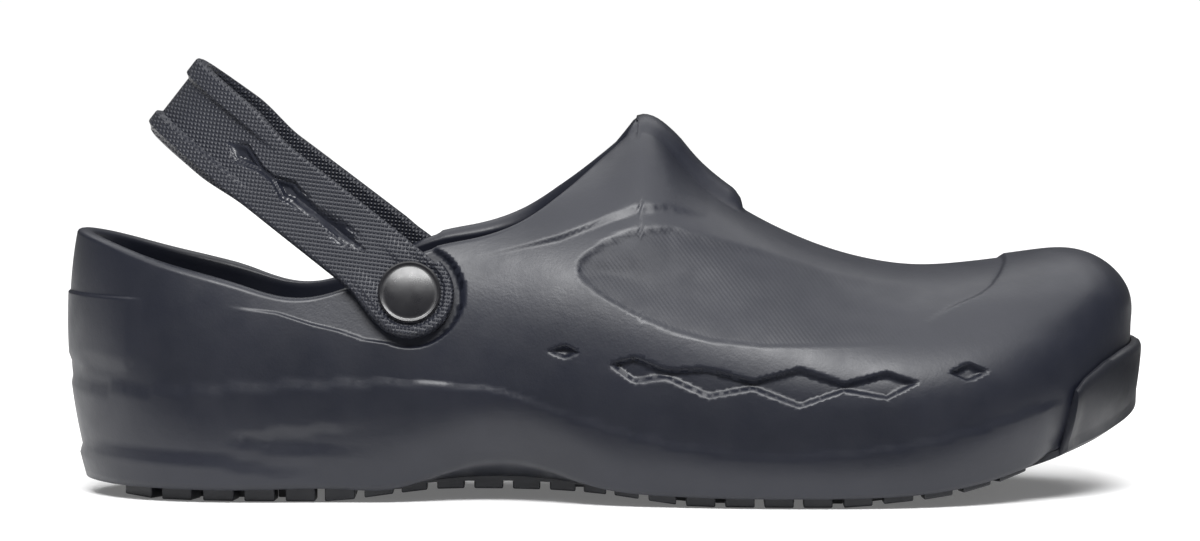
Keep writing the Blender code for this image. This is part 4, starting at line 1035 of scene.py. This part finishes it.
def build_strap(finish):
    """Both arms and the heel pad in one band, its ends round over the rivets."""
    shell = Shell()
    for side in (LATERAL, MEDIAL):
        points, reach = strap_path(side, PATH_ROWS)
        step_back = unit(points[1] - points[0])
        tip = RING_RADIUS * np.cos(np.linspace(0, np.pi / 2, TIP_ROWS))[:-1]
        front = points[0] - np.outer(tip, step_back)
        dense = np.linspace(0, 1, BAND_STATIONS)
        order = np.interp(dense, np.linspace(0, 1, len(reach)), reach)
        path = np.stack([np.interp(order, reach, points[:, k]) for k in range(3)], -1)
        path = np.concatenate([front, path])
        reach = np.concatenate([-tip, order])
        ahead = np.gradient(path, axis=0)
        ahead[:STRAIGHT_START] = step_back
        ahead[-1] = [0, -side, 0]
        ahead = unit(ahead)
        share = np.clip(reach / reach[-1], 0, 1)[:, None]
        leaning = np.cross(ahead[0], seat_axis(side)) * -side
        up = leaning + (ARM_RISE - leaning) * ease(share)
        out = unit(np.cross(ahead, up) * side)
        up = np.cross(out, ahead) * side
        pad = ease((share[:, 0] - PAD_START) / (1 - PAD_START) * 2)
        offset = STRAP_OFFSET * ease(reach / OFFSET_RUN)
        low = offset - arm_half(reach)
        upper_half = np.maximum(STRAP_WIDTH / 2, arm_half(reach) - FILLET)
        high = offset + np.where(reach < 0, arm_half(reach), upper_half)
        low = low + (PAD_LOW - low) * pad
        high = high + (PAD_HIGH - high) * pad
        rows = []
        face = np.linspace(0, 1, BAND_ROWS)
        for part in face:
            rows.append(band_face(path, up, out, reach, pad, low, high, part, 1))
        for part in face[::-3]:
            rows.append(band_face(path, up, out, reach, pad, low, high, part, 0))
        rows.append(rows[0])
        shell.grid(np.stack(rows, 1))
    strap = shell.piece("strap_band", finish, 30)
    mark_chain(strap)
    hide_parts("heel_strap")
    return strap


def vertex_places(piece):
    """A piece's points, with x from the back of the heel."""
    place = np.zeros(len(piece.data.vertices) * 3)
    piece.data.vertices.foreach_get("co", place)
    return place.reshape(-1, 3) + [MIDDLE, 0, 0]


def set_mask(piece, name, value):
    """A value at each point of a piece, which its material reads by name."""
    mask = piece.data.attributes.new(name, "FLOAT", "POINT")
    mask.data.foreach_set("value", value.astype(np.float32))


def mark_chain(strap):
    """A mask of the arms' chain, whose recess has no knurl."""
    away = vertex_places(strap) - SEAT_CENTRE[LATERAL]
    inside = arm_chain_inside(away @ ARM_BACK, away @ ARM_RISE)
    set_mask(strap, "chain", np.clip(inside / ARM_CHAIN_WALL, 0, 1))


def band_face(path, up, out, reach, pad, low, high, part, face):
    """One row of the band: a height across it and the depth of its outer or inner face."""
    height = low + (high - low) * part
    width = high - low
    from_edge = np.minimum(height - low, high - height)
    corner = np.clip(1 - from_edge / BAND_CORNER, 0, 1)
    round_off = BAND_CORNER * (1 - np.sqrt(1 - corner ** 2)) * (width > 1e-6)
    if not face:
        depth = round_off * 0.6
        return path + up * height[:, None] + out * depth[:, None]
    depth = STRAP_THICKNESS - round_off
    inside = arm_chain_inside(reach, height)
    recess = ARM_CHAIN_DEPTH * np.clip(inside / ARM_CHAIN_WALL, 0, 1)
    recess = recess + ARM_DIMPLE_DEPTH * np.clip((inside - ARM_CHAIN_LAND) / ARM_DIMPLE_WALL, 0, 1)
    depth = depth - recess * (1 - ease((pad - 0.5) * 2))
    radius = np.sqrt(reach ** 2 + height ** 2)
    rim_half = RING_RIM / 2
    ring = np.clip(1 - np.abs(radius - RING_RADIUS + rim_half) / rim_half, 0, 1) * (reach < RING_RADIUS)
    depth = depth + RING_RAISE * ease(ring * 2) * (radius < RING_RADIUS + 1e-4)
    bottom, top = PAD_LOWER_LIP
    lower_lip = ease((height - bottom) / PAD_LIP_WALL) * ease((top - height) / PAD_LIP_WALL)
    upper_lip = ease((height - PAD_UPPER_LIP) / PAD_LIP_WALL)
    flat = 1 - np.maximum(lower_lip, upper_lip)
    depth = depth - PAD_RECESS * pad * flat
    return path + up * height[:, None] + out * depth[:, None]


def turned(shell, centre, axis, profile, sides=96):
    """A turned form: radius and height along its axis."""
    first = unit(np.cross(axis, [1.0, 0, 0]))
    second = np.cross(axis, first)
    angles = np.linspace(0, 2 * np.pi, sides + 1)
    ring = np.outer(np.cos(angles), first) + np.outer(np.sin(angles), second)
    shell.grid(np.stack([centre + ring * radius + axis * height for radius, height in profile], 1))


def build_rivet(side, name, finish):
    """A snap rivet: domed head with a fine bead at its rim, shank and inner flange."""
    axis = seat_axis(side)
    head = GAP + BAND_RAISE + STRAP_THICKNESS + RIVET_CLEARANCE
    inside = wall_back(side) - GAP
    bottom = inside - RIVET_INNER_HEIGHT
    profile = [(0, bottom), (RIVET_INNER_RADIUS - RIVET_INNER_EDGE, bottom),
               (RIVET_INNER_RADIUS, bottom + RIVET_INNER_EDGE), (RIVET_INNER_RADIUS, inside),
               (RIVET_SHANK_RADIUS, inside), (RIVET_SHANK_RADIUS, head)]
    profile += [(RIVET_HEAD_RADIUS + out, head + up) for out, up in RIVET_BEAD]
    dome_radius, dome_start = profile[-1]
    dome = head + RIVET_HEAD_HEIGHT - dome_start
    for part in np.linspace(0, 1, 12)[1:]:
        profile.append((dome_radius * (1 - part), dome_start + dome * (1 - (1 - part) ** 2)))
    shell = Shell()
    turned(shell, SEAT_CENTRE[side], axis, profile)
    rivet = shell.piece(f"rivet_cap_{name}", finish, 35)
    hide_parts(f"rivet_{name}")
    return rivet


class Surface:
    """A Principled material and the nodes that feed it."""

    def __init__(self, name, roughness):
        self.material = bpy.data.materials.new(name)
        self.material.use_nodes = True
        self.tree = self.material.node_tree
        self.shader = self.tree.nodes["Principled BSDF"]
        self.shader.inputs["Roughness"].default_value = roughness
        self.place = self.add("ShaderNodeTexCoord").outputs["Object"]
        self.bump = None

    def add(self, kind, **values):
        made = self.tree.nodes.new(kind)
        for key, value in values.items():
            setattr(made, key, value)
        return made

    def link(self, start, end):
        self.tree.links.new(start, end)

    def feed(self, value, socket):
        """A value drives one of the shader's sockets."""
        self.link(value, self.shader.inputs[socket])

    def bands(self, scale, angle):
        """Fine ribs, turned by an angle about the axis across the shoe."""
        turned_place = self.add("ShaderNodeMapping")
        turned_place.inputs["Rotation"].default_value = (0, angle, 0)
        self.link(self.place, turned_place.inputs["Vector"])
        made = self.add("ShaderNodeTexWave", wave_type="BANDS", bands_direction="X")
        made.inputs["Scale"].default_value = scale
        self.link(turned_place.outputs["Vector"], made.inputs["Vector"])
        return made.outputs["Fac"]

    def noise(self, scale, detail=3.0, roughness=0.5):
        made = self.add("ShaderNodeTexNoise")
        made.inputs["Scale"].default_value = scale
        made.inputs["Detail"].default_value = detail
        made.inputs["Roughness"].default_value = roughness
        self.link(self.place, made.inputs["Vector"])
        return made.outputs["Fac"]

    def ramp(self, value, low, high, start, end):
        """Colours between start and end where the value runs from low to high."""
        made = self.add("ShaderNodeValToRGB")
        made.color_ramp.elements[0].position = low
        made.color_ramp.elements[1].position = high
        made.color_ramp.elements[0].color = (*start, 1)
        made.color_ramp.elements[1].color = (*end, 1)
        self.link(value, made.inputs["Fac"])
        return made.outputs["Color"]

    def math(self, operation, a, b=0.0):
        made = self.add("ShaderNodeMath", operation=operation)
        for socket, value in zip(made.inputs, (a, b)):
            if isinstance(value, (int, float)):
                socket.default_value = value
            else:
                self.link(value, socket)
        return made.outputs["Value"]

    def span(self, value, low, high, start, end):
        made = self.add("ShaderNodeMapRange")
        for socket, number in zip(list(made.inputs)[1:5], (low, high, start, end)):
            socket.default_value = number
        self.link(value, made.inputs["Value"])
        return made.outputs["Result"]

    def raise_by(self, height, distance, strength=1.0):
        """Adds a layer of bump."""
        made = self.add("ShaderNodeBump")
        made.inputs["Strength"].default_value = strength
        made.inputs["Distance"].default_value = distance
        self.link(height, made.inputs["Height"])
        if self.bump is not None:
            self.link(self.bump, made.inputs["Normal"])
        self.bump = made.outputs["Normal"]
        self.link(self.bump, self.shader.inputs["Normal"])

    def attribute(self, name):
        return self.add("ShaderNodeAttribute", attribute_name=name).outputs["Fac"]


def foam_surface():
    """Black moulded foam: fine grain, slight mottling, a satin skin and fine hatching on the panel."""
    made = Surface("moulded_foam", 0.5)
    mottle = made.ramp(made.noise(45, 4, 0.6), 0.3, 0.7, (0.0080, 0.0095, 0.0165), (0.0110, 0.0125, 0.0205))
    made.feed(mottle, "Base Color")
    satin = made.span(made.noise(120, 4), 0.3, 0.7, 0.38, 0.47)
    dull = made.math("MULTIPLY", made.attribute("hatch"), 0.18)
    made.feed(made.math("ADD", satin, dull), "Roughness")
    made.shader.inputs["Specular IOR Level"].default_value = 0.5
    hatching = made.bands(330, np.radians(38))
    made.raise_by(made.math("MULTIPLY", hatching, made.attribute("hatch")), 0.00006, 0.6)
    made.raise_by(made.noise(520, 2), 0.00010, 0.35)
    made.raise_by(made.noise(1500, 2), 0.00005, 0.5)
    return made.material


def rubber_surface():
    """Black outsole rubber, a little duller and more neutral than the foam."""
    made = Surface("outsole_rubber", 0.52)
    dust = made.ramp(made.noise(90, 5, 0.65), 0.3, 0.75, (0.0075, 0.0085, 0.0130), (0.0105, 0.0115, 0.0165))
    made.feed(dust, "Base Color")
    made.feed(made.span(made.noise(200, 3), 0.3, 0.7, 0.40, 0.50), "Roughness")
    made.raise_by(made.noise(900, 2), 0.00006, 0.5)
    return made.material


def footbed_surface():
    made = Surface("footbed_foam", 0.85)
    mottle = made.ramp(made.noise(60, 4), 0.3, 0.7, (0.0080, 0.0080, 0.0090), (0.0130, 0.0130, 0.0140))
    made.feed(mottle, "Base Color")
    cells = made.add("ShaderNodeTexVoronoi")
    cells.inputs["Scale"].default_value = 350
    made.link(made.place, cells.inputs["Vector"])
    made.raise_by(cells.outputs["Distance"], 0.0003, 0.6)
    return made.material


def strap_surface():
    """Strap foam with a fine knurl of crossed ribs."""
    made = Surface("strap_foam", 0.5)
    mottle = made.ramp(made.noise(60, 4), 0.3, 0.7, (0.0110, 0.0125, 0.0195), (0.0150, 0.0165, 0.0240))
    made.feed(mottle, "Base Color")
    ribs = [made.bands(300, STRAP_ANGLE + side * np.radians(45)) for side in (1, -1)]
    plain = made.attribute("chain")
    knurl = made.math("MULTIPLY", *ribs)
    made.raise_by(made.math("MULTIPLY", knurl, made.math("SUBTRACT", 1.0, plain)), 0.00030, 0.9)
    made.feed(made.span(plain, 0.0, 1.0, 0.46, 0.28), "Roughness")
    made.raise_by(made.noise(1400, 2), 0.00005, 0.5)
    return made.material


def rivet_surface():
    made = Surface("rivet_plastic", 0.22)
    made.shader.inputs["Base Color"].default_value = (0.008, 0.008, 0.010, 1)
    made.feed(made.span(made.noise(300, 4), 0.3, 0.7, 0.25, 0.33), "Roughness")
    made.shader.inputs["Coat Weight"].default_value = 0.1
    made.shader.inputs["Coat Roughness"].default_value = 0.15
    made.raise_by(made.noise(700, 2), 0.00002, 0.4)
    return made.material


HATCH_FADE = 0.050
HATCH_END = 0.845
HATCH_EDGE = 0.0015


def add_hatch(body):
    """A mask of the side panel, for its hatching."""
    x, _, z = vertex_places(body).T
    ahead = x - PANEL["station"][0] * BODY_LENGTH
    behind = HATCH_END * BODY_LENGTH - x
    inside = np.minimum(strip_depth(PANEL, x, z), np.minimum(ahead, behind))
    set_mask(body, "hatch", np.clip(inside / HATCH_EDGE, 0, 1) * ease(behind / HATCH_FADE))


# The photo's view: long lens, slightly above the shoe, square to its outer side
PHOTO_SIZE = (1200, 541)
MM_PER_PIXEL = 0.27467
CAMERA_DISTANCE = 1.95
CAMERA_RISE = np.radians(4.4)
AIM = Vector((-0.0013, 0, 0.0606))
SENSOR = 0.036


def place_facing(name, data, place, direction):
    """An object that looks in a direction."""
    thing = bpy.data.objects.new(name, data)
    thing.location = place
    thing.rotation_mode = "QUATERNION"
    thing.rotation_quaternion = direction.to_track_quat("-Z", "Y")
    bpy.context.scene.collection.objects.link(thing)
    return thing


def build_camera():
    data = bpy.data.cameras.new("camera")
    data.sensor_width = SENSOR * 1000
    data.lens = SENSOR * CAMERA_DISTANCE / (PHOTO_SIZE[0] * MM_PER_PIXEL / 1000) * 1000
    data.clip_end = 50
    look = Vector((0, np.cos(CAMERA_RISE), -np.sin(CAMERA_RISE)))
    bpy.context.scene.camera = place_facing("camera", data, AIM - look * CAMERA_DISTANCE, look)


def area_light(name, place, aim, size, power, height=None):
    data = bpy.data.lights.new(name, "AREA")
    data.shape = "RECTANGLE"
    data.size = size
    data.size_y = height or size
    data.energy = power
    place_facing(name, data, place, Vector(aim) - Vector(place))


def stage_plane(name, finish, place, size):
    """A level plane of the studio, which isn't part of the shoe."""
    bpy.ops.mesh.primitive_plane_add(size=1.0, location=place)
    plane = bpy.context.object
    plane.name = name
    plane.scale = (*size, 1)
    plane.data.materials.append(finish)
    return plane


def black_card(name, finish, place, size):
    """A dark card on the floor, out of the camera's sight, that keeps the floor's light off the side."""
    card = stage_plane(name, finish, place, size)
    card.visible_camera = False
    card.visible_shadow = False
    card.visible_diffuse = False


def matte(name, grey):
    """A dull grey material and its shader's sockets."""
    material = bpy.data.materials.new(name)
    material.use_nodes = True
    sockets = material.node_tree.nodes["Principled BSDF"].inputs
    sockets["Base Color"].default_value = (grey, grey, grey, 1)
    sockets["Roughness"].default_value = 1.0
    return material, sockets


WORLD_STRENGTH = 0.10
WORLD_SEEN = 1.02
OVERHEAD_POWER = 165.0
KEY_POWER = 24.0
FLOOR_GLOW = 0.14


def build_studio():
    """White floor and surroundings, a broad light overhead, a key light in front and two dark cards."""
    white, sockets = matte("studio_white", 0.92)
    sockets["Specular IOR Level"].default_value = 0.0
    sockets["Emission Color"].default_value = (1, 1, 1, 1)
    sockets["Emission Strength"].default_value = FLOOR_GLOW
    stage_plane("studio_floor", white, (0, 0, -0.0002), (3.0, 3.0))
    world = bpy.data.worlds.new("studio")
    world.use_nodes = True
    background = world.node_tree.nodes["Background"]
    background.inputs["Color"].default_value = (1, 1, 1, 1)
    path = world.node_tree.nodes.new("ShaderNodeLightPath")
    strength = world.node_tree.nodes.new("ShaderNodeMapRange")
    strength.inputs["To Min"].default_value = WORLD_STRENGTH
    strength.inputs["To Max"].default_value = WORLD_SEEN
    world.node_tree.links.new(path.outputs["Is Camera Ray"], strength.inputs["Value"])
    world.node_tree.links.new(strength.outputs["Result"], background.inputs["Strength"])
    bpy.context.scene.world = world
    area_light("overhead", (0, 0.9, 3.0), (0, 0.9, 0), 5.0, OVERHEAD_POWER, 6.0)
    area_light("key", (0.02, -0.95, 0.98), (0.02, 0, 0.05), 1.0, KEY_POWER, 0.30)
    black, _ = matte("studio_black", 0.01)
    black_card("card_front", black, (0.0, -0.80, 0.0015), (2.2, 1.47))
    black_card("card_toe", black, (0.62, 0.20, 0.003), (0.86, 0.60))
    bpy.context.scene.view_settings.view_transform = "Standard"


def main():
    for old in list(bpy.data.objects):
        bpy.data.objects.remove(old, do_unlink=True)
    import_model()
    build_camera()
    build_studio()
    rubber = rubber_surface()
    body = build_body(foam_surface())
    add_hatch(body)
    build_tread(rubber)
    build_lugs(rubber)
    build_footbed(footbed_surface())
    build_strap(strap_surface())
    rivet = rivet_surface()
    build_rivet(LATERAL, "lateral", rivet)
    build_rivet(MEDIAL, "medial", rivet)


main()
